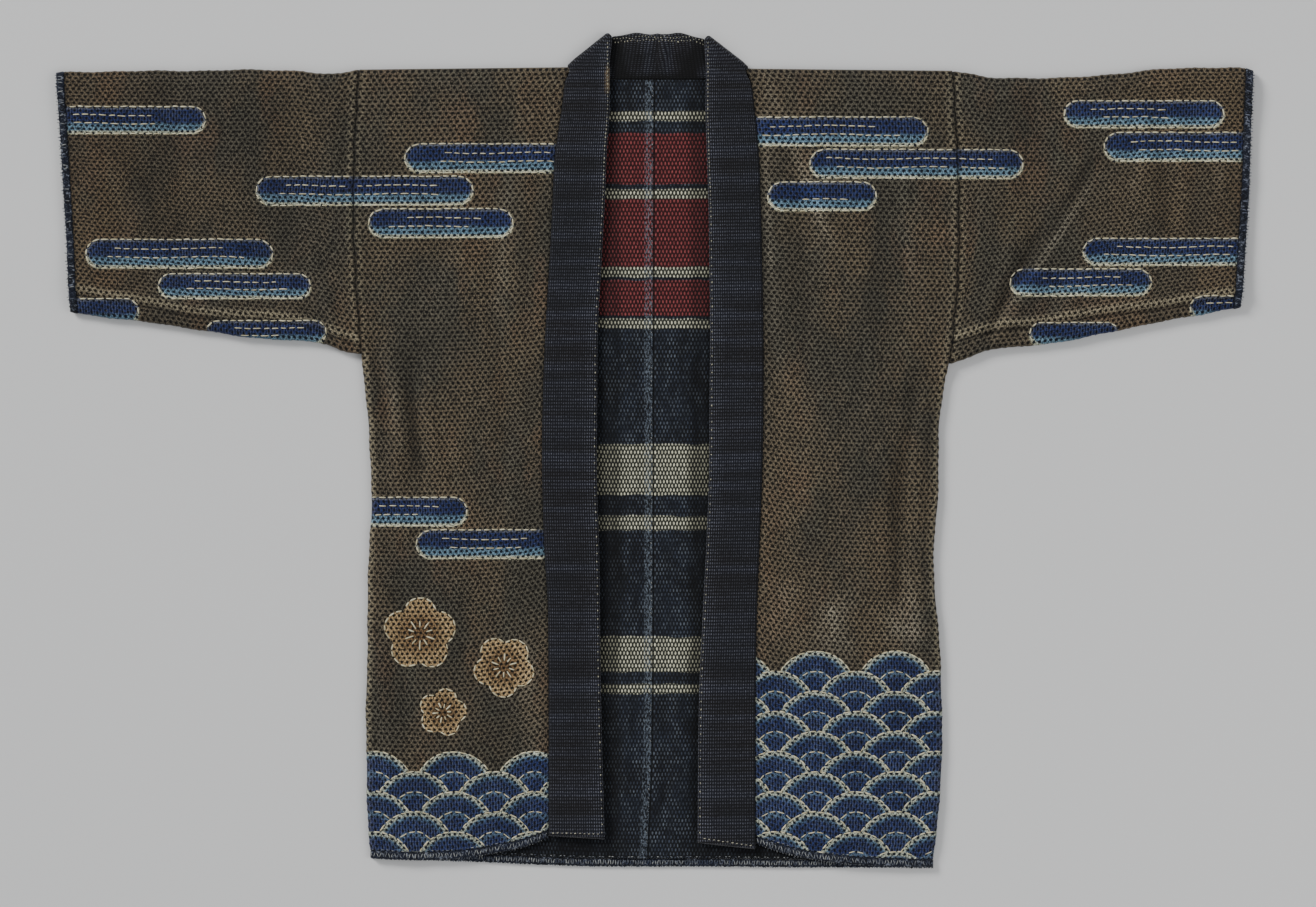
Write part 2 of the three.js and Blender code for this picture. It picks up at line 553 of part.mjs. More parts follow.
for (const [side, sign] of SIDES) {
  const quilted = () => QUILTED_CLOTH;
  const frontAcross = stops(9, edgeRoll(FRONT_WIDTH));
  const frontDown = stops(24, edgeRoll(FRONT_LENGTH));
  const front = frontMiddle(side, sign);
  const frontBinding = panel(frontAcross, [0, 1], bindingMiddle(front), () => BINDING_CLOTH);
  addPiece("front_" + side, panel(frontAcross, frontDown, front, quilted), quiltedBrown);
  addPiece("hem_binding_front_" + side, frontBinding, blueBinding);

  const back = backMiddle(side, sign, () => BACK_CLOTH / 2);
  const backPanel = panel(backAcross(side, [0.92, 1]), stops(16), back, () => BACK_CLOTH);
  addPiece("back_" + side, backPanel, quiltedBrown);

  const liningHeight = (x, y) => {
    const shown = ease(64, 52, Math.abs(x)) * ease(0, 4, Math.abs(x));
    return LINING_MID + shown * Math.max(0, LINING_FULLNESS + foldHeight(folds.lining, x, y));
  };
  const lining = backMiddle(side, sign, liningHeight);
  const liningAcross = backAcross(side, [0.88, 0.91, 0.94, 0.97, 0.99, 1]);
  addPiece("lining_" + side, panel(liningAcross, stops(16), lining, () => LINING_CLOTH), indigoLining);

  const bindingShare = BINDING_WIDTH / SLEEVE_LENGTH;
  const sleeve = sleeveMiddle(side, sign, 0, 1 - bindingShare - SEAM_GAP / SLEEVE_LENGTH);
  addPiece("sleeve_" + side, tube(stops(10), sleeveRound(5, 12), sleeve, quilted), quiltedBrown);

  const cuff = sleeveMiddle(side, sign, 1 - bindingShare, 1);
  addPiece("cuff_binding_" + side, tube([0, 1], sleeveRound(5, 12), cuff, quilted), blueBinding);
}

// The back's hem binding is one strip across both halves, round the flat hem.
const BACK_BINDING_CLOTH = 3.4;
const backBindingMiddle = (u, v) => {
  const x = mix(-along(sideEdge, "y", HEM_Y, "right"), along(sideEdge, "y", HEM_Y, "left"), u);
  const y = along(backHem, "x", x, "y") + (1 - v) * BINDING_WIDTH;
  return new THREE.Vector3(x, y, BACK_BINDING_CLOTH / 2);
};
const backBinding = panel(stops(16), [0, 1], backBindingMiddle, () => BACK_BINDING_CLOTH);
addPiece("hem_binding_back", backBinding, blueBinding);

const bandAcross = [0, 0.08, 0.36, 0.66, 0.92, 1];
const bandThickness = (u, v) => mix(BAND_SEAM_CLOTH, BAND_CLOTH, ease(0, 0.2, v)) - 1.2 * ease(0.93, 1, v);
addPiece("collar_band", panel(stops(2 * BAND_ROWS), bandAcross, bandMiddle, bandThickness), navyBand);

export default coat;
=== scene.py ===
import math

import bmesh
import bpy
import numpy as np
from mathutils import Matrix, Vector
from mathutils.bvhtree import BVHTree


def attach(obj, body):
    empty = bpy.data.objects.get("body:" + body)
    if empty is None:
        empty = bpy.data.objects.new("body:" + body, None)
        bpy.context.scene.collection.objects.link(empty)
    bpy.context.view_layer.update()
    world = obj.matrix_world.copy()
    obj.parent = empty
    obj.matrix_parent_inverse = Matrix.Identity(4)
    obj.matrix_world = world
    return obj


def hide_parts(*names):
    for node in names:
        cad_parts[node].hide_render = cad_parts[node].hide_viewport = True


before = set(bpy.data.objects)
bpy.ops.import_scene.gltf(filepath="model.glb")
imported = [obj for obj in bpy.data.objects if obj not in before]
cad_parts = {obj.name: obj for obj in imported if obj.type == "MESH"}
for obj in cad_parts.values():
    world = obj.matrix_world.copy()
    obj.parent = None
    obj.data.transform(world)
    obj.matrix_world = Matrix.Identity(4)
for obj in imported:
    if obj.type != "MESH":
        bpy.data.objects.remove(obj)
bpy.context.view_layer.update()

# Camera. It hangs straight above the coat with the collar at the top of the picture, as the
# photograph was taken, far enough away that the view is nearly flat.
bpy.ops.object.select_all(action="DESELECT")
bpy.ops.object.camera_add(location=(0.00315, -0.00315, 3.263), rotation=(0, 0, 0))
camera = bpy.context.object
camera.data.lens = 85
camera.data.sensor_width = 36
camera.data.clip_end = 30
bpy.context.scene.camera = camera

# Floor and light. A plain pale surface that the coat lies on, a soft lamp from the upper left that
# shows the quilting, a weaker one from the right, and an even pale room.
bpy.ops.mesh.primitive_plane_add(size=9, location=(0, 0, -0.0004))
floor = bpy.context.object
floor.name = "floor"
floor_material = bpy.data.materials.new("pale_floor")
floor_material.use_nodes = True
floor_shader = floor_material.node_tree.nodes["Principled BSDF"]
floor_shader.inputs["Base Color"].default_value = (0.72, 0.72, 0.71, 1)
floor_shader.inputs["Roughness"].default_value = 0.9
floor.data.materials.append(floor_material)

for lamp_place, lamp_size, lamp_power in (
    ((-5.7, 5.1, 4.5), 2.7, 680),
    ((1.9, -0.4, 2.2), 1.8, 22),
    ((0.2, -1.9, 2.0), 1.8, 9),
):
    bpy.ops.object.light_add(type="AREA", location=lamp_place)
    lamp = bpy.context.object
    lamp.data.size = lamp_size
    lamp.data.energy = lamp_power
    lamp.rotation_euler = Vector(lamp_place).to_track_quat("Z", "Y").to_euler()

room = bpy.context.scene.world or bpy.data.worlds.new("room")
bpy.context.scene.world = room
room.use_nodes = True
room.node_tree.nodes["Background"].inputs["Color"].default_value = (0.93, 0.95, 1.0, 1)
room.node_tree.nodes["Background"].inputs["Strength"].default_value = 0.36

# Front panels. Each is one length of thick quilted cotton, layers of cloth sewn together with rows of
# running stitches that show as staggered dots, dyed brown over a resist pattern, with cream thread laid
# along the pattern. The side edge rolls under to the back, and the top turns over the shoulder.
MM = 0.001
SIDES = (("right", -1), ("left", 1))
COLUMN = {"right": 1, "left": 2}
QUILTED_CLOTH = 3.0
BINDING_WIDTH = 8.2
SEAM_GAP = 0.35
ARMHOLE_GAP = 0.7
EDGE_ROLL = 3.8
FRONT_EDGE_FOOT = 3.8
SHOULDER_Y = 400
HEM_Y = -428
FRONT_WIDTH = 190
BODY_HALF = 310
CLOTH_LENGTH = 819
FOLD_CLEARANCE = 24
UNDERARM_Y = {"right": 101.2, "left": 90.8}
DOT_PITCH = 6.0
ROW_PITCH = 4.4

# Outer edge of the body by y, out from the centre: armhole seam above y 100, side seam below it.
SIDE_EDGE = [
    (402, 310, 311.5), (325, 314.4, 316), (250, 316, 318.2), (180, 313.2, 317), (108, 308, 310.5),
    (74, 305.4, 304.5), (22, 300.3, 297.8), (-52, 297.4, 297), (-94, 299.2, 292.6), (-136, 301.4, 293),
    (-215, 301.6, 299.3), (-262, 303.3, 300.6), (-314, 302.6, 301.2), (-367, 302.2, 298.4),
    (-436, 297.8, 291.2),
]  # fmt: skip

# Seam of the collar band on each front by y, and the band's free edge, both out from the centre.
BAND_SEAM = [
    (404, 90.4, 96), (389, 93.6, 99.8), (357, 97.6, 104.2), (309, 104.6, 108.6), (262, 107, 110.4),
    (200, 110.2, 111.8), (126, 114.5, 113.2), (50, 117.4, 113.2), (-25, 118, 112), (-104, 115.6, 109),
    (-165, 112, 106.6), (-262, 111.2, 105), (-436, 111.2, 105),
]  # fmt: skip
BAND_FREE = [
    (404, 47.4, 53.2), (389, 47.4, 53.4), (357, 47.6, 53), (309, 50.8, 54.4), (262, 52.6, 56),
    (200, 56, 57), (126, 59.9, 57.8), (50, 60.6, 57.2), (-25, 61, 56.7), (-104, 58.6, 53.6),
    (-165, 57.8, 50.4), (-262, 56.6, 46.2), (-436, 52, 44.6),
]  # fmt: skip

# Lower edge of each front by the distance out from the centre.
FRONT_HEM = [
    (104, -403, -411.4), (124, -410.6, -418.8), (140, -416.3, -423.4), (168, -421.8, -429),
    (198, -426.6, -432.6), (230, -428.8, -434.8), (268, -428.8, -436.2), (304, -426.6, -436.6),
]  # fmt: skip

# Creases of each front: the two ends of the line, its softness and its height (below 0 a trough).
FRONT_CREASES = {
    "right": [
        (-255, 90, -251, -30, 12, -2.0), (-292, 110, -284, 25, 8, -1.7), (-272, 120, -268, -20, 9, 1.6),
        (-190, 350, -205, 150, 30, 1.0), (-235, 300, -225, 160, 20, -1.0), (-142, 10, -138, -210, 17, 1.0),
        (-165, 180, -160, -60, 13, -1.1), (-215, -40, -222, -240, 24, 1.1),
        (-268, -130, -262, -300, 13, -1.2), (-180, -250, -190, -425, 18, 1.0),
        (-238, -330, -232, -428, 14, -1.1), (-148, -330, -146, -420, 12, -1.0),
        (-236, 78, -231, -8, 7, 1.1), (-300, 60, -291, -120, 6, 1.2), (-130, 330, -150, 120, 8, 0.8),
        (-296, 150, -262, 92, 7, -1.2), (-282, 196, -238, 120, 9, 0.9), (-206, -110, -150, -160, 12, -0.7),
        (-286, -190, -278, -330, 8, 0.9), (-128, -160, -124, -330, 8, 0.7),
    ],
    "left": [
        (253, -25, 257, -165, 11, -2.0), (271, 60, 262, -25, 9, -1.8), (279, 40, 276, -150, 8, 1.5),
        (119, 360, 142, 100, 12, 1.3), (146, 300, 162, 70, 11, -1.2), (205, 340, 214, 120, 28, 1.0),
        (236, 70, 226, -120, 15, 1.1), (165, -20, 172, -220, 22, 1.0), (136, -90, 132, -260, 12, -1.1),
        (262, -230, 268, -400, 15, -1.0), (196, -290, 204, -430, 20, 1.0), (240, 250, 286, 130, 14, -1.2),
        (256, 238, 298, 128, 9, 1.3), (288, 90, 252, 40, 8, -1.0), (176, 330, 190, 210, 9, 0.7),
        (243, -10, 246, -150, 6, 1.0), (220, -240, 214, -380, 10, -0.8), (286, -60, 284, -210, 7, 0.9),
    ],
}  # fmt: skip


def mix(start, end, share):
    return start + (end - start) * share


def ease(start, end, value):
    share = np.clip((value - start) / (end - start), 0, 1)
    return share * share * (3 - 2 * share)


def bell(distance, width):
    return np.exp(-((distance / width) ** 2))


def along(rows, place, column=1):
    """Reads a measured edge at any place, on a smooth curve through its points."""
    table = np.array(sorted(rows), float)
    at, values = table[:, 0], table[:, column]
    slopes = np.empty(len(at))
    slopes[1:-1] = (values[2:] - values[:-2]) / (at[2:] - at[:-2])
    slopes[0] = (values[1] - values[0]) / (at[1] - at[0])
    slopes[-1] = (values[-1] - values[-2]) / (at[-1] - at[-2])
    place = np.clip(place, at[0], at[-1])
    k = np.clip(np.searchsorted(at, place, side="right") - 1, 0, len(at) - 2)
    span = at[k + 1] - at[k]
    t = (place - at[k]) / span
    start_weight = 1 - 3 * t**2 + 2 * t**3
    bend = (t - 2 * t**2 + t**3) * span * slopes[k] + (t**3 - t**2) * span * slopes[k + 1]
    return values[k] * start_weight + values[k + 1] * (1 - start_weight) + bend


def creased(rows, x, y):
    """Height that the creases of one piece add at each point."""
    height = np.zeros(np.broadcast(x, y).shape)
    for x0, y0, x1, y1, softness, rise in rows:
        length = math.hypot(x1 - x0, y1 - y0)
        on_line = ((x - x0) * (x1 - x0) + (y - y0) * (y1 - y0)) / length**2
        off_line = ((x - x0) * (y1 - y0) - (y - y0) * (x1 - x0)) / length
        off_line = off_line + softness * 0.25 * np.sin(on_line * 5 + x0)
        fade = ease(-0.35, 0.25, on_line) * (1 - ease(0.75, 1.35, on_line))
        height += rise * bell(off_line, softness) * fade
    return height


def slack(x, y, seed):
    """The small unevenness that old cloth keeps everywhere: many long low waves, from a fixed seed."""
    draw = np.random.default_rng(seed)
    height = np.zeros(np.broadcast(x, y).shape)
    for _ in range(14):
        length, turn, start = draw.uniform(26, 110), draw.uniform(0, math.pi), draw.uniform(0, 6.28)
        wave = (x * math.cos(turn) + y * math.sin(turn)) * 2 * math.pi / length + start
        height += np.sin(wave) * length / 900
    return height


def rolled_edge(distance, radius):
    """The quarter turn of a folded edge: how far in and how far up the cloth is."""
    angle = np.minimum(math.pi / 2, distance / radius)
    inward = radius * (1 - np.cos(angle)) + np.maximum(0, distance - radius * math.pi / 2)
    return inward, np.sin(angle)


def uneven_edge(run):
    """How far a folded edge of thick quilting strays in and out along its length."""
    return 0.3 * np.sin(run * math.pi / 4.4) + 0.35 * np.sin(run / 7.3 + 1) + 0.3 * np.sin(run / 15.1 + 2)


def seam_wobble(y):
    """How far the hand-sewn armhole seam strays sideways along its length."""
    return (0.5 * np.sin(y / 8.3) + 0.35 * np.sin(y / 3.9 + 1)) * ease(90, 125, y)


SHOULDER_RISE = {"right": (403.2, 399.6), "left": (401.6, 398.4)}


def shoulder_y(side, x):
    return mix(*SHOULDER_RISE[side], x / BODY_HALF)


def front_middle(side, sign, u, v, fine=1.0):
    """The middle of one front's cloth, from side seam (u 0) to band and shoulder (v 0) to hem."""
    column = COLUMN[side]
    y_first = mix(SHOULDER_Y, HEM_Y, v)
    x_first = mix(along(SIDE_EDGE, y_first, column), along(BAND_SEAM, y_first, column), u)
    top = shoulder_y(side, x_first) - QUILTED_CLOTH / 2
    hem = along(FRONT_HEM, x_first, column) + BINDING_WIDTH + SEAM_GAP
    shoulder_in, shoulder_up = rolled_edge(v * (top - hem), EDGE_ROLL)
    y = top - shoulder_in * (top - hem) / rolled_edge(top - hem, EDGE_ROLL)[0]

    under = 1 - ease(UNDERARM_Y[side] - 16, UNDERARM_Y[side], y)
    side_distance = u * FRONT_WIDTH
    roll_in, roll_up = rolled_edge(side_distance, EDGE_ROLL)
    outer = along(SIDE_EDGE, y, column) + seam_wobble(y) - mix(ARMHOLE_GAP / 2, QUILTED_CLOTH / 2, under)
    inner = along(BAND_SEAM, y, column) + 0.5 - 2.2 * ease(384, 398, y)
    rolled_share = roll_in / rolled_edge(FRONT_WIDTH, EDGE_ROLL)[0]
    x = mix(outer + uneven_edge(y) * under, inner, mix(u, rolled_share, under))

    fall = np.minimum(1, np.hypot(under * (1 - roll_up), 1 - shoulder_up))
    near_band = 0.6 * ease(inner + 30, inner, x)
    near_hem = 1.6 * ease(hem + 26, hem, y)
    clear_side = mix(1, ease(0, FOLD_CLEARANCE, side_distance), under)
    clear_ends = ease(0, FOLD_CLEARANCE, top - y) * (1 - 0.5 * ease(hem + FOLD_CLEARANCE, hem, y))
    clear_band = ease(0, 30, x - inner)
    fullness = 2.2 * ease(0, 50, side_distance) * ease(0, 45, x - inner)
    folded = 2.0 * creased(FRONT_CREASES[side], sign * x, y) + 1.2 * slack(sign * x, y, 11 + column)
    folded = np.maximum(folded + fullness, -2.1) * clear_side * clear_ends * (0.35 + 0.65 * clear_band)
    puckers = 1 + 0.35 * np.sin(y / 2.3 + 1.7 * np.sin(y / 19))
    beside_armhole = (1 - under) * bell(side_distance - 3.5, 3.2) * ease(0, 10, top - y)
    beside_side = under * bell(side_distance - 9, 3) * 0.5
    beside_band = -0.5 * bell((1 - u) * FRONT_WIDTH, 3)
    raised = fine * ((beside_armhole + beside_side) * puckers + beside_band)
    z = FRONT_EDGE_FOOT + (EDGE_ROLL + near_band - near_hem) * (1 - fall) + folded + raised
    return np.stack([sign * x, y, z], axis=-1)


def stitch_dots(across, down, dot_pitch, row_pitch):
    """1 where a quilting stitch goes through the cloth, in rows whose dots are staggered."""
    column, row = across / (dot_pitch / 2), down / row_pitch
    near = (np.abs(column - np.round(column)) < 0.02) & (np.abs(row - np.round(row)) < 0.02)
    return (near & ((np.round(column) + np.round(row)) % 2 == 0)).astype(float)


def pick(piece):
    """Makes this the one selected piece."""
    bpy.ops.object.select_all(action="DESELECT")
    bpy.context.view_layer.objects.active = piece
    piece.select_set(True)


def join_edges(merge=True):
    """Joins the points of the selected piece that lie at one place, and makes its faces agree."""
    bpy.ops.object.mode_set(mode="EDIT")
    bpy.ops.mesh.select_all(action="SELECT")
    if merge:
        bpy.ops.mesh.remove_doubles(threshold=1e-6)
    bpy.ops.mesh.normals_make_consistent(inside=False)
    bpy.ops.object.mode_set(mode="OBJECT")


def face_outward(piece):
    """Turns the faces of a closed piece outward."""
    mesh = bmesh.new()
    mesh.from_mesh(piece.data)
    if mesh.calc_volume(signed=True) < 0:
        bmesh.ops.reverse_faces(mesh, faces=mesh.faces)
        mesh.to_mesh(piece.data)
    mesh.free()


def laid_grid(name, places, cloth, closed=False):
    """A grid of cloth: a grid primitive with its points moved to their places (mm), and the cloth's own
    millimetres as its UV map. A closed one has its ends joined."""
    rows, columns = places.shape[:2]
    bpy.ops.object.select_all(action="DESELECT")
    bpy.ops.mesh.primitive_grid_add(x_subdivisions=columns - 1, y_subdivisions=rows - 1, size=1)
    piece = bpy.context.object
    piece.name = piece.data.name = name
    piece.data.vertices.foreach_set("co", (places * MM).ravel())
    corners = np.empty(len(piece.data.loops), np.int32)
    piece.data.loops.foreach_get("vertex_index", corners)
    piece.data.uv_layers[0].data.foreach_set("uv", (cloth * MM).reshape(-1, 2)[corners].ravel())
    if closed:
        join_edges()
        face_outward(piece)
    piece.data.update()
    return piece


def set_reading(piece, name, values):
    """Keeps a number or three for each point of the cloth, for its material to read."""
    kind = "FLOAT_VECTOR" if values.ndim == 2 else "FLOAT"
    attribute = piece.data.attributes.new(name, kind, "POINT")
    attribute.data.foreach_set("vector" if values.ndim == 2 else "value", values.astype(np.float32).ravel())


def points_of(piece):
    co = np.empty(len(piece.data.vertices) * 3, np.float32)
    piece.data.vertices.foreach_get("co", co)
    return co.reshape(-1, 3).astype(float) / MM


def give_thickness(piece, thickness, dots=None, pinch=0.3):
    """Turns the grid into a shell of that thickness, drawn together at the quilting stitches."""
    solidify = piece.modifiers.new("thickness", "SOLIDIFY")
    solidify.thickness = thickness * MM
    solidify.offset = 0
    if dots is not None:
        group = piece.vertex_groups.new(name="quilting")
        group.add([int(k) for k in np.flatnonzero(dots < 0.5)], 1.0, "REPLACE")
        group.add([int(k) for k in np.flatnonzero(dots >= 0.5)], 1.0 - pinch, "REPLACE")
        solidify.vertex_group = "quilting"
    pick(piece)
    bpy.ops.object.modifier_apply(modifier="thickness")
    bpy.ops.object.shade_smooth_by_angle(angle=math.radians(60))


def dress(piece, material, node):
    """Gives a piece its material, hangs it on the root body and hides the solid it stands for."""
    piece.data.materials.append(material)
    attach(piece, "root")
    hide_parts(node)


# The resist pattern on the outer cloth is a plain traditional one. Bars of mist, given by their two
# ends, their height on the coat and half their width, lie over the shoulders, sleeves and one front.
MIST_BARS = [
    (80, 286, 334, 15), (162, 386, 300, 15), (118, 232, 266, 15), (428, 596, 352, 14),
    (470, 664, 318, 15), (372, 520, 176, 14), (448, 664, 208, 14),
    (-262, -80, 306, 15), (-418, -190, 272, 15), (-300, -148, 238, 15), (-596, -400, 206, 15),
    (-520, -360, 172, 13), (-664, -470, 346, 14), (-664, -540, 146, 13), (-470, -344, 124, 12),
    (392, 486, 122, 12), (560, 664, 150, 12), (-330, -196, -64, 15), (-250, -80, -98, 15),
]  # fmt: skip

# Round five-petalled blossoms: centre, radius and turn. Each petal's distance from the centre and its
# size are shares of that radius.
BLOSSOMS = [(-246, -192, 39, 0.3), (-158, -226, 33, 0.9), (-222, -274, 26, 0.1)]
PETAL_OUT, PETAL_SIZE = 0.54, 0.44

# Overlapping wave scales along the hems, and the height of the top row's centres on each side.
SCALE_RADIUS = 42
SCALE_TOP = {"right": -357, "left": -252}


def mist(x, y):
    """Distance inside the nearest bar of mist, and the height within that bar from 0 to 1."""
    inside = np.full(np.broadcast(x, y).shape, -1e3)
    height = np.zeros(inside.shape)
    for start, end, middle, half in MIST_BARS:
        past_end = np.maximum(np.abs(x - (start + end) / 2) - ((end - start) / 2 - half), 0)
        here = half - np.hypot(past_end, y - middle)
        height = np.where(here > inside, (y - middle) / half / 2 + 0.5, height)
        inside = np.maximum(inside, here)
    return inside, height


# Streaks and patches, partly faded cloth and partly painted highlight and shade along the folds, with the
# right sleeve and the lower right front darker all over: the two ends of the line, its softness, and how
# much paler it is (below 0 darker), on the fronts and sleeves together.
FADED_AND_FOLD_SHADED_STREAKS = [
    (-147, 300, -173, 126, 12, 0.35), (-226, 210, -231, 126, 14, 0.2), (-257, 53, -249, -10, 5, -0.8),
    (-273, 74, -268, 0, 7, 0.3), (-136, -199, -126, -325, 15, 0.4), (-180, 340, -230, 240, 16, -0.2),
    (121, 373, 189, 210, 7, 0.5), (115, 357, 126, 126, 5, 0.45), (152, 347, 184, 158, 8, 0.25),
    (262, 294, 268, 126, 12, 0.25), (226, 315, 236, 126, 12, -0.25), (250, -31, 247, -157, 9, -0.4),
    (262, -115, 273, -199, 10, 0.4), (184, -157, 194, -209, 22, 0.6), (247, -157, 262, -199, 18, 0.6),
    (126, -136, 136, -199, 14, 0.4), (289, 74, 284, -20, 8, -0.35), (150, 100, 160, -60, 20, 0.15),
    (-530, 221, -525, 158, 10, 0.4), (-562, 315, -530, 263, 12, -0.35), (-341, 294, -341, 252, 12, -0.25),
    (-494, 350, -490, 200, 5, 0.2), (-446, 360, -444, 190, 5, 0.15), (-592, 340, -560, 260, 9, 0.25),
    (452, 273, 347, 116, 6, 0.6), (462, 305, 430, 263, 7, -0.8), (425, 247, 352, 132, 6, -0.5),
    (578, 357, 599, 263, 8, 0.4), (520, 357, 530, 263, 9, -0.35), (599, 284, 609, 231, 7, -0.3),
    (509, 357, 504, 263, 6, 0.3), (545, 345, 552, 250, 5, 0.2), (385, 380, 392, 300, 14, -0.15),
    (-700, 330, -380, 220, 190, -0.26), (-215, -120, -215, -400, 90, -0.14),
]  # fmt: skip


def set_wear_fade_and_shade(piece, x, y, seam, wear):
    """Keeps, for each point of the cloth, the painted shade of its seams and crease troughs, how worn on a
    fold it is, and its streaks of fading and of painted fold highlight and shade.
    """
    faded_and_fold_shaded = creased(FADED_AND_FOLD_SHADED_STREAKS, x, y)
    readings = [np.broadcast_to(reading, x.shape).ravel() for reading in (seam, wear, faded_and_fold_shaded)]
    set_reading(piece, "wear_fade_and_shade", np.stack(readings, axis=-1))


def petals(blossom):
    centre_x, centre_y, radius, turn = blossom
    out = PETAL_OUT * radius
    angles = turn + np.arange(5) * 2 * math.pi / 5
    return [(centre_x + out * math.cos(a), centre_y + out * math.sin(a)) for a in angles]


def bloom(x, y):
    """Distance inside the nearest blossom, and the distance out from its centre as a share."""
    inside = np.full(np.broadcast(x, y).shape, -1e3)
    outward = np.ones(inside.shape)
    for blossom in BLOSSOMS:
        centre_x, centre_y, radius, turn = blossom
        here = 0.3 * radius - np.hypot(x - centre_x, y - centre_y)
        for petal_x, petal_y in petals(blossom):
            here = np.maximum(here, PETAL_SIZE * radius - np.hypot(x - petal_x, y - petal_y))
        outward = np.where(here > inside, np.hypot(x - centre_x, y - centre_y) / radius, outward)
        inside = np.maximum(inside, here)
    return inside, outward


def set_pattern(piece):
    """Gives the cloth its readings of the dyed pattern."""
    places = points_of(piece)
    for name, shape in (("mist", mist), ("bloom", bloom)):
        inside, share = shape(places[:, 0], places[:, 1])
        set_reading(piece, name, np.stack([inside, share, np.zeros(len(places))], axis=-1))


class Reading:
    """A number that a material works out at each point, so that its sums can be written as sums."""

    def __init__(self, tree, socket):
        self.tree = tree
        self.socket = socket

    def work(self, operation, *others):
        node = self.tree.nodes.new("ShaderNodeMath")
        node.operation = operation
        for slot, value in enumerate((self, *others)):
            put(node.inputs[slot], value)
        return Reading(self.tree, node.outputs[0])

    def __add__(self, other):
        return self.work("ADD", other)

    def __mul__(self, other):
        return self.work("MULTIPLY", other)

    def __sub__(self, other):
        return self.work("SUBTRACT", other)

    def __truediv__(self, other):
        return self.work("DIVIDE", other)

    __radd__ = __add__
    __rmul__ = __mul__

    def __rsub__(self, other):
        return (self * -1) + other

    def rising(self, start, end):
        """0 before start, 1 after end, and smooth between. A start above the end turns it round."""
        node = self.tree.nodes.new("ShaderNodeMapRange")
        node.interpolation_type = "SMOOTHSTEP"
        put(node.inputs["Value"], self)
        node.inputs["From Min"].default_value = start
        node.inputs["From Max"].default_value = end
        return Reading(self.tree, node.outputs["Result"])

    def line(self, at, half_width, softness):
        """1 within half_width of the value, fading to 0."""
        return (self - at).work("ABSOLUTE").rising(half_width + softness, half_width)


def put(socket, value):
    """Links a reading or an output to a socket, or sets the socket to a plain value."""
    if isinstance(value, Reading):
        socket.id_data.links.new(value.socket, socket)
    elif isinstance(value, bpy.types.NodeSocket):
        socket.id_data.links.new(value, socket)
    else:
        socket.default_value = value


def tint(red, green, blue):
    """A colour matched on a scale of 255, as the shader wants it."""
    channels = [channel / 255 for channel in (red, green, blue)]
    return tuple(c / 12.92 if c <= 0.04045 else ((c + 0.055) / 1.055) ** 2.4 for c in channels) + (1.0,)


def blend(share, under, over, blend_type="MIX"):
    """Lays one colour over another by a share."""
    node = (share if isinstance(share, Reading) else over).tree.nodes.new("ShaderNodeMix")
    node.data_type = "RGBA"
    node.blend_type = blend_type
    put(node.inputs["Factor"], share)
    colours = [socket for socket in node.inputs if socket.type == "RGBA"]
    put(colours[0], under)
    put(colours[1], over)
    return next(socket for socket in node.outputs if socket.type == "RGBA")


def brighten(colour, amount):
    """Multiplies a colour by a reading."""
    grey = amount.tree.nodes.new("ShaderNodeCombineColor")
    for channel in ("Red", "Green", "Blue"):
        put(grey.inputs[channel], amount)
    return blend(1.0, colour, Reading(amount.tree, grey.outputs[0]), "MULTIPLY")


def mottle(place, size, detail=2.0, stretch=(1, 1, 1)):
    """Soft random patches of about that size in millimetres, from 0 to 1."""
    tree = place.id_data
    mapping = tree.nodes.new("ShaderNodeMapping")
    mapping.inputs["Scale"].default_value = stretch
    tree.links.new(place, mapping.inputs["Vector"])
    noise = tree.nodes.new("ShaderNodeTexNoise")
    noise.inputs["Scale"].default_value = 1000 / size
    noise.inputs["Detail"].default_value = detail
    noise.inputs["Roughness"].default_value = 0.6
    tree.links.new(mapping.outputs["Vector"], noise.inputs["Vector"])
    return Reading(tree, noise.outputs["Fac"])


def start_material(name, roughness=0.92, sheen=0.12):
    """A cotton shader, and the places that its patterns read, in metres."""
    material = bpy.data.materials.new(name)
    material.use_nodes = True
    shader = material.node_tree.nodes["Principled BSDF"]
    shader.inputs["Roughness"].default_value = roughness
    shader.inputs["Specular IOR Level"].default_value = 0.25
    shader.inputs["Sheen Weight"].default_value = sheen
    shader.inputs["Sheen Roughness"].default_value = 0.45
    coordinates = material.node_tree.nodes.new("ShaderNodeTexCoord")
    return material, shader, coordinates.outputs["Object"], coordinates.outputs["UV"]


def parts_of(vector):
    node = vector.id_data.nodes.new("ShaderNodeSeparateXYZ")
    put(node.inputs[0], vector)
    return [Reading(vector.id_data, socket) for socket in node.outputs]


def split(vector):
    """The first two parts of a vector, in millimetres."""
    return [part * 1000 for part in parts_of(vector)[:2]]


def kept_readings(material, name):
    """The three parts of a reading that the cloth keeps at its points."""
    node = material.node_tree.nodes.new("ShaderNodeAttribute")
    node.attribute_name = name
    return parts_of(node.outputs["Vector"])


def stitch_distance(across, down, dot_pitch, row_pitch, staggered=True):
    """Distance in millimetres to the nearest stitch of a grid, whose rows may be staggered."""

    def to_grid(shift):
        off = []
        for value, pitch in ((across, dot_pitch), (down, row_pitch * (2 if staggered else 1))):
            cell = value / pitch + shift
            off.append((cell - cell.work("FLOOR") - 0.5) * pitch)
        return (off[0] * off[0] + off[1] * off[1]).work("SQRT")

    return to_grid(0.5).work("MINIMUM", to_grid(0.0)) if staggered else to_grid(0.5)


def finish_material(shader, colour, height, strength=0.6, depth=0.6):
    """Puts the colour on the shader, and its height in millimetres in as a bump."""
    put(shader.inputs["Base Color"], colour)
    bump = shader.id_data.nodes.new("ShaderNodeBump")
    bump.inputs["Strength"].default_value = strength
    bump.inputs["Distance"].default_value = depth * MM
    put(bump.inputs["Height"], height)
    put(shader.inputs["Normal"], bump.outputs["Normal"])


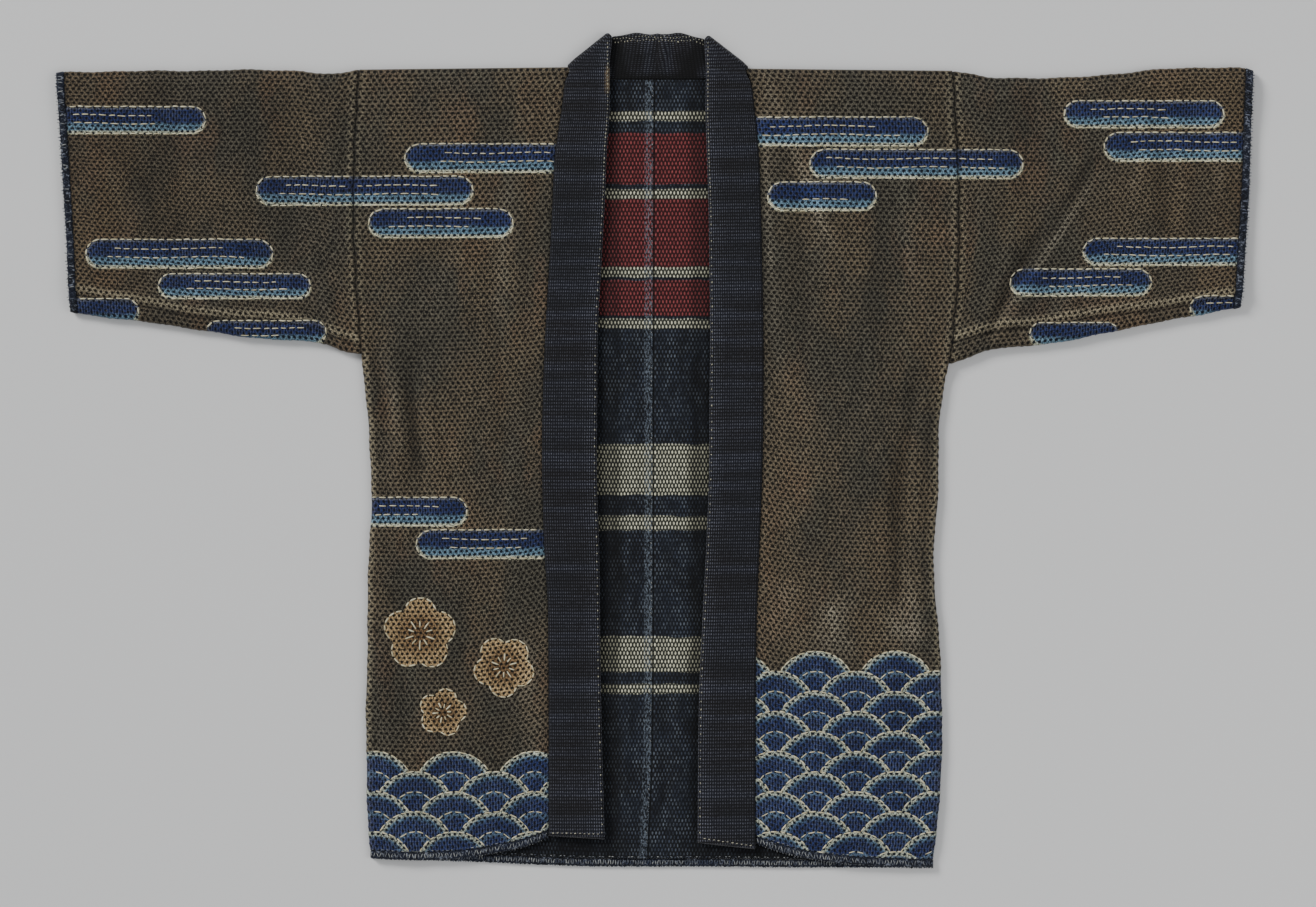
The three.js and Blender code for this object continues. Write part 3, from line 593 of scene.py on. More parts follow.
def scale_ring(x, y):
    """How far out each point lies in the wave scale that shows there, 0 to 1, and whether one does."""
    radius = SCALE_RADIUS
    first_row = ((y - radius) / (radius / 2)).work("CEIL")
    top = (x.work("GREATER_THAN", 0) * (SCALE_TOP["left"] - SCALE_TOP["right"])) + SCALE_TOP["right"]
    ring, shown = None, None
    for step in (0, 1, 2):
        row = first_row + step
        centre_y = row * (radius / 2)
        shift = row.work("FLOORED_MODULO", 2) * radius
        off_x = (x - shift + radius).work("FLOORED_MODULO", 2 * radius) - radius
        off_y = y - centre_y
        distance = (off_x * off_x + off_y * off_y).work("SQRT") / radius
        here = distance.work("LESS_THAN", 1) * centre_y.work("LESS_THAN", top + 1)
        if ring is None:
            ring, shown = distance * here, here
        else:
            fresh = here * (1 - shown)
            ring, shown = ring + distance * fresh, shown + fresh
    return ring, shown


def outer_cloth():
    """The brown quilted cotton with its dyed pattern, with painted highlight and shade of its quilting, its
    folds and its seams.
    """
    material, shader, place, cloth = start_material("brown_quilted_cotton")
    across, down = split(cloth)
    x, y = split(place)
    wander = (mottle(place, 8, 2) - 0.5) * 0.8
    sideways, downways = across + wander, (down + (mottle(place, 9, 2) - 0.5) * 0.8) * 1.1
    dot = stitch_distance(sideways, downways, DOT_PITCH, ROW_PITCH * 1.1)
    dot_size = mottle(place, 9, 1) * 0.7 + 0.7
    fleck_row = ROW_PITCH * 1.1 / 2 * 0.5
    fleck = stitch_distance(sideways + 1.5, downways * 0.5, DOT_PITCH / 2, fleck_row, False)
    threads = mottle(place, 1.0, 2, (1.0, 0.6, 1.0))
    fibre = mottle(place, 0.55, 2)
    patches = mottle(place, 90, 3, (1.0, 0.6, 1.0))
    streaks = mottle(place, 46, 3, (1.0, 0.5, 1.0))
    small_patches = mottle(place, 18, 3, (1.0, 0.6, 1.0))

    brown = blend(patches.rising(0.38, 0.62), tint(80, 76, 65), tint(96, 86, 69))
    brown = blend(streaks.rising(0.5, 0.7) * 0.36, brown, tint(104, 80, 60))
    brown = blend(small_patches.rising(0.54, 0.72) * 0.3, brown, tint(85, 86, 74))
    brown = blend(x.work("ABSOLUTE").rising(430, 620) * 0.3, brown, tint(102, 83, 58))
    brown = brighten(brown, patches * 0.3 + streaks * 0.5 + 0.6)

    mist_inside, mist_height, _ = kept_readings(material, "mist")
    bloom_inside, bloom_outward, _ = kept_readings(material, "bloom")
    seam, wear, faded_and_fold_shaded = kept_readings(material, "wear_fade_and_shade")
    deep = blend(mottle(place, 22, 2), tint(22, 30, 66), tint(30, 43, 88))
    light = blend(mottle(place, 12, 2), tint(76, 103, 126), tint(116, 145, 158))
    bleed = (mottle(place, 16, 3) - 0.5) * 0.5
    mist_light = (mist_height + bleed * 0.35).rising(0.47, 0.27)
    mist_colour = blend(mist_light, deep, light)
    ring, scaled = scale_ring(x, y)
    outer_ring = (ring + bleed * 0.4).rising(0.74, 0.97)
    inner_ring = (ring + bleed * 0.4).line(0.44, 0.02, 0.1) * 0.5
    scale_colour = blend(outer_ring.work("MAXIMUM", inner_ring), deep, light)
    tan = blend((bloom_outward + bleed * 0.4).rising(0.25, 0.85), tint(112, 88, 60), tint(172, 146, 106))

    colour = blend(mist_inside.rising(-0.5, 0.5), brown, mist_colour)
    colour = blend(scaled, colour, scale_colour)
    colour = blend(bloom_inside.rising(-0.5, 0.5), colour, tan)

    resist = mist_inside.line(1.0, 1.2, 1.6) * (mist_height.rising(0.55, 0.25) * 0.8 + 0.2)
    resist = resist.work("MAXIMUM", ring.line(0.955, 0.03, 0.06) * scaled * 0.85)
    colour = blend(resist * 0.75, colour, tint(190, 190, 160))
    on_brown = (1 - mist_inside.rising(-3, 0)) * (1 - scaled)
    colour = blend(wear * 0.8 * (on_brown * 0.85 + 0.15), colour, tint(158, 148, 122))
    # Paler where the streaks are paler: faded cloth, and painted highlight on the fold ridges.
    pale_fade_and_fold_highlight = faded_and_fold_shaded.rising(0.05, 0.9) * small_patches.rising(0.2, 0.7) * on_brown
    colour = blend(pale_fade_and_fold_highlight * 0.55, colour, tint(138, 131, 114))
    # Paler and darker along the streaks (faded cloth with painted fold highlight and shade), and darker with
    # painted shade in the seams and crease troughs.
    colour = brighten(colour, (faded_and_fold_shaded.work("MAXIMUM", -0.9) * 0.55 + 1) * (1 - seam * 0.85))

    net = dot.rising(1.0, 2.3)
    hole = (dot - dot_size).rising(0.8, -0.1)
    speckle = threads.rising(0.34, 0.68)
    # Painted highlight on the raised cloth between the quilting stitches and painted shade at the stitches,
    # varied by the fibres.
    painted_relief_light = (net * 0.95 + 0.02) * (speckle * 1.62 + 0.1)
    colour = brighten(colour, painted_relief_light)
    deep_share = (mist_inside.rising(-0.5, 0.5) * (1 - mist_light)).work("MAXIMUM", scaled * (1 - outer_ring))
    on_fleck = fleck.rising(0.95, 0.3) * (threads.rising(0.3, 0.62) * 0.75 + 0.25) * deep_share
    fleck_share = (small_patches.rising(0.3, 0.7) * 0.34 + 0.16) * (scaled * 0.35 + 0.75)
    colour = blend(on_fleck * fleck_share, colour, tint(112, 122, 150))
    # The stitch holes darkened with painted shade, navy in the blue and near black in the brown.
    stitch_hole_shade_colour = blend(on_brown, tint(9, 17, 31), tint(17, 14, 10))
    colour = blend(hole * (1 - deep_share * 0.8) * 0.95, colour, stitch_hole_shade_colour)
    colour = blend(mottle(place, 2.2, 2).rising(0.71, 0.8) * 0.5, colour, tint(172, 160, 132))

    height = net * 0.55 - hole * 0.8 + speckle * 0.35 + fibre * 0.15
    finish_material(shader, colour, height, 0.75, 0.8)
    return material


# Thick cream thread is laid along every outline of the dyed pattern in short stitches that dive into the
# cloth at both ends, with finer broken lines inside. Length of a stitch and of the gap after it.
OUTLINE_STITCH, OUTLINE_GAP = 7.4, 1.4
INNER_STITCH, INNER_GAP, INNER_FINENESS = 8.0, 1.7, 0.76
OUTLINE_THREAD = 1.5


def thread_cotton(name, colour, worn_colour):
    """Twisted cotton thread, a little uneven in colour."""
    material, shader, place, _ = start_material(name, 0.85, 0.2)
    spots = mottle(place, 7, 2)
    fibre = mottle(place, 0.6, 2)
    mixed = blend(spots.rising(0.35, 0.7), colour, worn_colour)
    finish_material(shader, brighten(mixed, fibre * 0.7 + 0.65), fibre, 0.6, 0.4)
    return material


def one_stitch():
    """A single rounded stitch of unit length and radius, along Z, from a sphere primitive."""
    bpy.ops.object.select_all(action="DESELECT")
    bpy.ops.mesh.primitive_uv_sphere_add(segments=5, ring_count=5, radius=1)
    stitch = bpy.context.object
    points = np.array([v.co[:] for v in stitch.data.vertices])
    around = np.maximum(np.hypot(points[:, 0], points[:, 1]), 1e-6)
    points[:, :2] *= np.where(around > 0.01, np.sqrt(around) / around, 0)[:, None]
    faces = [list(face.vertices) for face in stitch.data.polygons]
    bpy.data.objects.remove(stitch, do_unlink=True)
    return points, faces


STITCH_POINTS, STITCH_FACES = one_stitch()


def surface_of(piece):
    return BVHTree.FromObject(piece, bpy.context.evaluated_depsgraph_get())


def drop(surface, x, y):
    """The place on the cloth straight below a point of the plan, and its normal, or nothing beside it."""
    place, normal, _, _ = surface.ray_cast(Vector((x * MM, y * MM, 0.05)), Vector((0, 0, -1)))
    return (None, None) if place is None else (np.array(place) / MM, np.array(normal))


def wrap_round(surface, edge, draw):
    """One whip stitch round the edge of a binding: on the cloth, past the edge, and under the cloth."""
    x, y, out_x, out_y = edge
    reach, past, lean = draw.uniform(2.2, 3.6), draw.uniform(0.15, 1.0), draw.normal(0, 0.8)
    top, up = drop(surface, x - out_x * reach + out_y * lean, y - out_y * reach + out_x * lean)
    if top is None:
        return None
    under, _, _, _ = surface.ray_cast(Vector((top - [0, 0, 0.4]) * MM), Vector((0, 0, -1)))
    if under is None:
        return None
    under = np.array(under) / MM
    outside = np.array([x + out_x * past, y + out_y * past, (top[2] + under[2]) / 2])
    return top, outside, under, np.array([out_y, out_x, 0.6])


def sewn(name, surface, stitches, thickness, material, seed, edges=()):
    """Copies the one stitch to every pair of ends given in the plan, laid over the cloth below them, and
    round every place given on an edge."""
    draw = np.random.default_rng(seed)
    placed = []
    for start_x, start_y, end_x, end_y, *finer in stitches:
        shift = draw.normal(0, 0.22, 4)
        ends = [start_x + shift[0], start_y + shift[1], end_x + shift[2], end_y + shift[3]]
        first, last = drop(surface, ends[0], ends[1])[0], drop(surface, ends[2], ends[3])[0]
        middle, up = drop(surface, (ends[0] + ends[2]) / 2, (ends[1] + ends[3]) / 2)
        if first is None or last is None or middle is None or up[2] < 0.35:
            continue
        radius = thickness / 2 * draw.uniform(0.82, 1.16) * (finer[0] if finer else 1)
        if max(abs(first[2] - middle[2]), abs(last[2] - middle[2])) > 2.5:
            continue
        first, last, middle = first - up * radius * 0.7, last - up * radius * 0.7, middle + up * radius * 0.45
        placed.append((first, middle, last, up, radius))
    for edge in edges:
        wrapped = wrap_round(surface, edge, draw)
        if wrapped:
            placed.append((*wrapped, thickness / 2 * draw.uniform(0.8, 1.2)))
    first, middle, last, up = (np.array([row[k] for row in placed]) for k in range(4))
    radius = np.array([row[4] for row in placed])[:, None, None]
    stitch_x, stitch_y, t = (STITCH_POINTS[:, k][None, :, None] for k in range(3))
    run = last - first
    side = np.cross(run, up)
    side /= np.linalg.norm(side, axis=1, keepdims=True)
    rise = np.cross(side, run)
    rise /= np.linalg.norm(rise, axis=1, keepdims=True)
    centre = first[:, None] * (t * (t - 1) / 2) + middle[:, None] * (1 - t * t)
    centre = centre + last[:, None] * (t * (t + 1) / 2)
    places = centre + radius * (side[:, None] * stitch_x + rise[:, None] * stitch_y)
    count = len(STITCH_POINTS)
    faces = [[corner + k * count for corner in face] for k in range(len(placed)) for face in STITCH_FACES]
    mesh = bpy.data.meshes.new(name)
    mesh.from_pydata((places.reshape(-1, 3) * MM).tolist(), [], faces)
    threads = bpy.data.objects.new(name, mesh)
    bpy.context.scene.collection.objects.link(threads)
    pick(threads)
    join_edges(merge=False)
    bpy.ops.object.shade_smooth()
    threads.data.materials.append(material)
    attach(threads, "root")
    return threads


def dashed(run, length, gap, seed=0):
    """Cuts a line of the plan into stitches: their two ends each."""
    run = np.asarray(run, float)
    steps = np.hypot(*np.diff(run, axis=0).T)
    distance = np.concatenate([[0], np.cumsum(steps)])
    draw = np.random.default_rng(seed)
    at, stitches = draw.uniform(0, gap), []
    while at + length * 0.6 < distance[-1]:
        end = min(at + length * draw.uniform(0.8, 1.2), distance[-1])
        stitches.append([np.interp(s, distance, run[:, k]) for s in (at, end) for k in (0, 1)])
        at = end + gap * draw.uniform(0.7, 1.3)
    return stitches


def visible_runs(points, keep):
    """Splits a line into the runs of it that are kept."""
    runs, run = [], []
    for point, kept in zip(points, keep):
        if kept:
            run.append(point)
        if run and not kept:
            runs.append(run)
            run = []
    return [np.array(r) for r in runs + [run] if len(r) > 3]


def mist_lines():
    """The outline of every bar of mist, and the broken lines inside it."""
    lines, inner, draw = [], [], np.random.default_rng(5)
    for start, end, middle, half in MIST_BARS:
        left, right = start + half, end - half
        turn = np.linspace(-math.pi / 2, math.pi / 2, 13)
        outline = [(x, middle - half) for x in np.arange(left, right, 4)]
        outline += [(right + half * math.cos(a), middle + half * math.sin(a)) for a in turn]
        outline += [(x, middle + half) for x in np.arange(right, left, -4)]
        outline += [(left - half * math.cos(a), middle - half * math.sin(a)) for a in turn]
        lines.append(np.array(outline + outline[:1]))
        for offset in (0.36, -0.24):
            first = left + draw.uniform(0, 30)
            last = right - draw.uniform(0, 46)
            wave = np.linspace(first, last, 40)
            if last - first > 40:
                height = middle + half * offset + 0.8 * np.sin(wave / 19 + start)
                inner.append(np.stack([wave, height], axis=-1))
    return lines, inner


def scale_lines():
    """The whole and half arcs of the wave scales, where no lower scale covers them."""
    radius, outer, inner = SCALE_RADIUS, [], []
    angle = np.linspace(0, math.pi, 61)
    for side, sign in SIDES:
        for row in range(int(-480 / (radius / 2)), int(SCALE_TOP[side] // (radius / 2)) + 1):
            centre_y = row * radius / 2
            for column in range(-6, 7):
                centre_x = (row % 2) * radius + column * 2 * radius
                for share, lines in ((1.0, outer), (0.5, inner)):
                    x = centre_x + share * radius * np.cos(angle)
                    y = centre_y + share * radius * np.sin(angle)
                    shift = ((row - 1) % 2) * radius
                    off_x = (x - shift + radius) % (2 * radius) - radius
                    clear = np.hypot(off_x, y - centre_y + radius / 2) > radius * 0.99
                    on_front = (sign * x > 80) & (sign * x < BODY_HALF)
                    lines += visible_runs(np.stack([x, y], axis=-1), clear & on_front)
    return outer, inner


def blossom_lines():
    """The outer line round the petals of every blossom, and its stamens."""
    outlines, stamens = [], []
    for blossom in BLOSSOMS:
        centre_x, centre_y, radius, turn = blossom
        angle = np.linspace(0, 2 * math.pi, 61)
        for petal_x, petal_y in petals(blossom):
            x = petal_x + PETAL_SIZE * radius * np.cos(angle)
            y = petal_y + PETAL_SIZE * radius * np.sin(angle)
            outlines += visible_runs(np.stack([x, y], axis=-1), bloom(x, y)[0] < 0.25)
        for k in range(10):
            a = turn + k * 2 * math.pi / 10
            ends = [0.16 * radius, (0.44 if k % 2 else 0.36) * radius]
            stamens.append([(centre_x + r * math.cos(a), centre_y + r * math.sin(a)) for r in ends])
    return outlines, stamens


CREAM_THREAD = thread_cotton("cream_cotton_thread", tint(222, 214, 182), tint(186, 176, 140))
mist_outlines, mist_inner = mist_lines()
scale_outer, scale_inner = scale_lines()
blossom_outlines, stamens = blossom_lines()
pattern_stitches = []
for number, run in enumerate(mist_outlines + blossom_outlines + scale_outer):
    pattern_stitches += dashed(run, OUTLINE_STITCH, OUTLINE_GAP, 100 + number)
for number, run in enumerate(mist_inner + scale_inner):
    stitches = dashed(run, INNER_STITCH, INNER_GAP, 700 + number)
    pattern_stitches += [[*stitch, INNER_FINENESS] for stitch in stitches]
for first, last in stamens:
    pattern_stitches.append([*first, *last])


def sew_pattern(piece_name, surface):
    """Sews the thread of the dyed pattern where it falls on this piece."""
    name = f"pattern_threads_{piece_name}"
    return sewn(name, surface, pattern_stitches, OUTLINE_THREAD, CREAM_THREAD, 3)


BLUE_THREAD = thread_cotton("blue_grey_thread", tint(52, 60, 80), tint(160, 162, 158))
NAVY_THREAD = thread_cotton("navy_thread", tint(30, 36, 56), tint(124, 130, 146))
QUILTED_MATERIAL = outer_cloth()
ROLL_STEPS = [0, 1.5, 3, 4.5]
across_front = np.array(ROLL_STEPS + list(np.arange(6, 198.1, DOT_PITCH / 2)))
down_front = np.array([0, 1.1, 2.2, 3.3] + list(np.arange(4.4, CLOTH_LENGTH - 0.5, ROW_PITCH / 2)))
for side, sign in SIDES:
    across, down = np.meshgrid(across_front, down_front)
    places = front_middle(side, sign, across / across_front[-1], down / down_front[-1])
    front = laid_grid(f"front_{side}_cloth", places, np.stack([sign * across, -down], axis=-1))
    set_pattern(front)
    x, y = places[..., 0], places[..., 1]
    at_armhole = ease(UNDERARM_Y[side] - 6, UNDERARM_Y[side] + 4, y)
    from_band = np.abs(x) - along(BAND_SEAM, y, COLUMN[side])
    # Painted shade: darker in the armhole seam, in the band's shadow beside it, and in the troughs of the
    # creases.
    seam = bell(across, 1.5) * at_armhole + 0.75 * bell(from_band, 1.9)
    wear = mix(0.55 * bell(across - 4, 3), 0.3 * bell(across - 4.5, 2), at_armhole)
    crease_trough_shade = 0.2 * np.clip(-creased(FRONT_CREASES[side], x, y) - 0.3, 0, 1.4)
    set_wear_fade_and_shade(front, x, y, seam + crease_trough_shade, wear)
    give_thickness(front, QUILTED_CLOTH, stitch_dots(across, down, DOT_PITCH, ROW_PITCH).ravel())
    dress(front, QUILTED_MATERIAL, f"front_{side}")
    surface = surface_of(front)
    outlines = sew_pattern(f"front_{side}", surface)
    out = np.arange(112, 296, 5.2)
    above_hem = along(FRONT_HEM, out, COLUMN[side]) + BINDING_WIDTH + 1.3
    dashes = [[sign * x, y, sign * (x + 3), y] for x, y in zip(out, above_hem)]
    hem_row = sewn(f"hem_dashes_{side}", surface, dashes, 0.9, BLUE_THREAD, 8)
    rests_on = [f"lining_{side}_cloth"]

# Back panels. The other half of each body length, from the shoulder fold down the back to the hem, cut
# away round the neck. It lies flat on the surface under everything else, with its dyed side down.
BACK_CLOTH = 2.0
BACK_WIDTH = 312
BACK_HEM_GAP = 0.7
BACK_NECK_Y = 388.6
NECK_CORNER_DROP = 4.6
BAND_CORNER = {"right": 89.6, "left": 95.4}
CENTRE_SEAM = [(390, -0.4), (100, -1.4), (-300, -2.6), (-432, -7.6)]
BACK_HEM = [
    (-304, -427.8), (-268, -429.2), (-194, -431.2), (-154, -433), (-111, -434.8), (-56, -436.3),
    (54, -436.4), (146, -437.3), (262, -437.6), (304, -438.4),
]  # fmt: skip


def back_middle(side, sign, u, v, height_at):
    """The middle of one half of the back or its lining, from the side (u 0) to the centre (u 1)."""
    column = COLUMN[side]
    x_first = mix(along(SIDE_EDGE, mix(SHOULDER_Y, HEM_Y, v), column), 0, u)
    hem = along(BACK_HEM, sign * x_first) + BINDING_WIDTH + BACK_HEM_GAP
    corner = BAND_CORNER[side]
    shoulder = shoulder_y(side, x_first)
    corner_cut = NECK_CORNER_DROP * ease(corner + 12, corner + 5, x_first)
    neck_cut = (shoulder - NECK_CORNER_DROP - BACK_NECK_Y) * ease(corner - 4, corner - 42, x_first)
    y = mix(shoulder - corner_cut - neck_cut, hem, v)
    centre = sign * along(CENTRE_SEAM, y) + SEAM_GAP / 2
    x = sign * mix(along(SIDE_EDGE, y, column) + seam_wobble(y) - ARMHOLE_GAP / 2, centre, u)
    return np.stack([x, y, height_at(x, y)], axis=-1)


for side, sign in SIDES:
    columns = np.arange(0, BACK_WIDTH + 0.1, DOT_PITCH / 2)
    across, down = np.meshgrid(columns, np.arange(0, CLOTH_LENGTH, ROW_PITCH))
    share = across / BACK_WIDTH
    places = back_middle(side, sign, share, down / down.max(), lambda x, y: 0 * x + BACK_CLOTH / 2)
    back = laid_grid(f"back_{side}_cloth", places, np.stack([sign * across, -down], axis=-1))
    set_pattern(back)
    # Painted shade along the centre seam.
    set_wear_fade_and_shade(back, -places[..., 0], places[..., 1], bell(BACK_WIDTH - across, 1.5), 0.0)
    give_thickness(back, BACK_CLOTH, stitch_dots(across, down, DOT_PITCH, ROW_PITCH).ravel(), 0.25)
    dress(back, QUILTED_MATERIAL, f"back_{side}")

# Linings. Thinner indigo cotton with woven-in rows of pale stitches, one length inside each half of the
# back, joined to the other at the centre seam. It shows only between the two sides of the collar band.
LINING_CLOTH = 1.2
LINING_MID = 2.9
LINING_DOT_PITCH = 3.7
LINING_ROW_PITCH = 4.4
LINING_CREASES = [
    (-44, -140, -46, -430, 6, -1.3), (-28, -160, -32, -430, 8, 1.5), (42, -140, 38, -430, 6, -1.3),
    (24, -170, 22, -430, 8, 1.5), (-26, 120, -24, -110, 12, 0.9), (30, 110, 28, -100, 12, 0.9),
    (-14, -260, -16, -430, 4, 0.7), (12, -200, 10, -420, 4, -0.7), (-50, 60, -50, -120, 5, -0.8),
    (48, 80, 47, -90, 5, -0.8),
]  # fmt: skip

# Stripes across the lining: the height of the middle on the coat, and half the width.
RED_STRIPES = [(306, 26), (232, 40), (160, 18)]
CREAM_STRIPES = [
    (351, 4.5), (269, 4.5), (187, 4.5), (133, 4.5), (-20, 26), (-76, 7), (-214, 18), (-250, 4.5),
]  # fmt: skip


def lining_height(x, y):
    """Lies on the back, with low folds and the raised centre seam where the open front shows it."""
    folded = 0.9 + creased(LINING_CREASES, x, y) + 0.8 * slack(x, y, 31)
    centre = np.abs(x - along(CENTRE_SEAM, y))
    seam = 1.3 * bell(centre - 2.6, 1.9)
    shown = ease(66, 54, np.abs(x))
    return LINING_MID + shown * (np.maximum(0, folded) * ease(0, 4, centre) + seam)


def lining_cloth():
    """Indigo cotton with rows of small woven dashes, red and cream in plain straight stripes, with painted
    shade in the groove of the centre seam and beside the band.
    """
    material, shader, place, cloth = start_material("indigo_striped_lining")
    across, down = split(cloth)
    x, y = split(place)
    wander = (mottle(place, 5, 1) - 0.5) * 0.8
    off_x = across + wander
    dash = stitch_distance(off_x, down * 0.5, LINING_DOT_PITCH, LINING_ROW_PITCH * 0.5)
    on_dash = dash.rising(1.15, 0.55)
    fibre = mottle(place, 0.7, 2)
    threads = mottle(place, 1.5, 2, (1.0, 0.5, 1.0))
    edge = y + (mottle(place, 26, 2) - 0.5) * 5
    ground = blend(mottle(place, 45, 3).rising(0.4, 0.6), tint(14, 15, 19), tint(18, 21, 28))
    dashes = blend(mottle(place, 8, 2).rising(0.42, 0.62), tint(54, 61, 74), tint(90, 98, 108))
    faint = mottle(place, 18, 2, (1.6, 0.6, 1.0)).rising(0.3, 0.66) * 0.62 + 0.26

    def stripe(middle, half, ground_colour, dash_colour, strength):
        nonlocal ground, dashes, faint
        on_stripe = edge.line(middle, half, 1.4)
        ground = blend(on_stripe, ground, ground_colour)
        dashes = blend(on_stripe, dashes, dash_colour)
        faint = faint * (1 - on_stripe) + on_stripe * strength

    for middle, half in RED_STRIPES:
        stripe(middle, half, tint(46, 17, 20), tint(146, 70, 70), 0.85)
    for middle, half in CREAM_STRIPES:
        stripe(middle, half, tint(44, 46, 42), tint(212, 210, 182), 0.95)
    colour = blend(on_dash * faint, ground, dashes)
    beside_seam = across.line(-5.4, 3.2, 2.2)
    colour = blend(beside_seam * threads.rising(0.44, 0.64) * 0.5, colour, tint(104, 114, 124))
    # Painted shade in the groove of the centre seam.
    seam_groove_shade = across.line(0, 0.5, 0.9)
    colour = brighten(colour, (threads.rising(0.3, 0.68) * 0.8 + 0.5) * (1 - seam_groove_shade * 0.8))
    shaded = (x + (mottle(place, 60, 2) - 0.5) * 12).work("ABSOLUTE").rising(31, 42)
    colour = brighten(colour, 1.06 - shaded * (y.rising(120, -120) * 0.22 + 0.5))
    height = on_dash * 0.7 + threads.rising(0.35, 0.65) * 0.35 + fibre * 0.1
    finish_material(shader, colour, height, 0.7, 0.7)
    return material


LINING_MATERIAL = lining_cloth()
shown_columns = np.arange(0, 68, LINING_DOT_PITCH / 2)
across_lining = (BODY_HALF - shown_columns)[::-1]
across_lining = np.concatenate([np.arange(0, across_lining[0] - 4, 12.0), across_lining])
centre_row, hem_row = [], []
for y in np.arange(-424, 384, 4.6):
    x = along(CENTRE_SEAM, y) - 2.2
    centre_row.append([x - 0.5, y + 0.9, x + 0.5, y - 0.9])
for k, x in enumerate(np.arange(-296, 298, 3.4)):
    y = along(BACK_HEM, x) + BINDING_WIDTH + 2.2
    if k % 3:
        hem_row.append([x - 1.1, y, x + 1.1, y])
for side, sign in SIDES:
    across, down = np.meshgrid(across_lining, np.arange(0, CLOTH_LENGTH, LINING_ROW_PITCH / 2))
    places = back_middle(side, sign, across / BODY_HALF, down / down.max(), lining_height)
    cloth = np.stack([sign * (BODY_HALF - across), -down], axis=-1)
    lining = laid_grid(f"lining_{side}_cloth", places, cloth)
    give_thickness(lining, LINING_CLOTH)
    dress(lining, LINING_MATERIAL, f"lining_{side}")
    surface = surface_of(lining)
    threads = [sewn(f"hem_dashes_back_{side}", surface, hem_row, 0.8, BLUE_THREAD, 15)]
    if side == "right":
        name = "centre_seam_stitches"
        threads.append(sewn(name, surface, centre_row, 0.7, BLUE_THREAD, 12))
    rests_on = [f"back_{side}_cloth"]

# Sleeves. Each is one length of the quilted cotton folded at the top, narrowing to the cuff, and closed
# by the underarm seam, which lies on the front with a pressed ridge just above it.
SLEEVE_BACK_MID = 1.5
SLEEVE_ROLL = 3.05
SLEEVE_MIDDLE = SLEEVE_BACK_MID + SLEEVE_ROLL
SLEEVE_SIDE = 68 * ROW_PITCH
SLEEVE_LENGTH = 310
SLEEVE_CLOTH_LENGTH = 300
ROLL_LENGTH = 4.8
SLEEVE_EDGE = [
    (311, 399.8, 398, 101.2, 90.8), (328, 395.4, 394.8, 103.6, 96.4), (346, 395.4, 391.4, 111.2, 104.4),
    (373, 398.4, 391, 114.4, 107.4), (425, 399.4, 391, 118.2, 113.4), (478, 398.5, 395.2, 125.4, 123.4),
    (531, 398.2, 400.4, 133.8, 134.4), (575, 397.6, 401.8, 138.2, 141.4), (604, 397, 401.4, 142.6, 147.6),
    (628, 396.6, 397.6, 146.4, 150.6),
]  # fmt: skip
CUFF_EDGE = [
    (402, 628, 627.2), (368, 625.8, 625.6), (302, 622, 623.6), (254, 619, 621.6), (206, 616.2, 618.4),
    (168, 614.2, 615.4), (140, 612.4, 613.2),
]  # fmt: skip
UNDERARM_SEAM = [
    (311, 110, 112), (340, 120.4, 120.6), (368, 130.2, 126.5), (398, 134.9, 128.8), (441, 136.4, 136),
    (488, 141, 143), (527, 149.4, 147), (574, 157.6, 155.8), (604, 162.8, 159.8),
]  # fmt: skip
SLEEVE_CREASES = {
    "right": [
        (-538, 250, -548, 185, 14, 1.5), (-372, 150, -336, 112, 8, -1.7), (-350, 175, -326, 118, 7, 1.7),
        (-455, 385, -450, 170, 26, 1.0), (-505, 370, -500, 200, 18, -1.0), (-385, 385, -392, 215, 20, -1.0),
        (-590, 360, -580, 190, 15, 1.0), (-392, 168, -352, 118, 7, 1.3), (-336, 360, -332, 240, 9, 0.9),
        (-420, 200, -380, 150, 10, -0.8), (-560, 300, -520, 215, 12, 0.7), (-338, 150, -318, 112, 5, -1.3),
        (-478, 190, -440, 150, 10, 0.7),
    ],
    "left": [
        (398, 222, 345, 108, 7, -2.2), (414, 214, 362, 118, 9, 2.0), (516, 350, 524, 215, 14, 1.3),
        (545, 345, 552, 215, 11, 1.2), (531, 350, 538, 215, 9, -1.0), (450, 375, 458, 200, 24, 0.9),
        (384, 370, 392, 240, 16, -1.0), (590, 360, 584, 200, 15, 0.9), (378, 232, 334, 118, 7, 1.5),
        (362, 200, 326, 106, 6, -1.2), (438, 196, 398, 132, 8, -0.9), (340, 378, 346, 262, 8, 0.9),
        (470, 196, 430, 140, 10, 0.8),
    ],
}  # fmt: skip


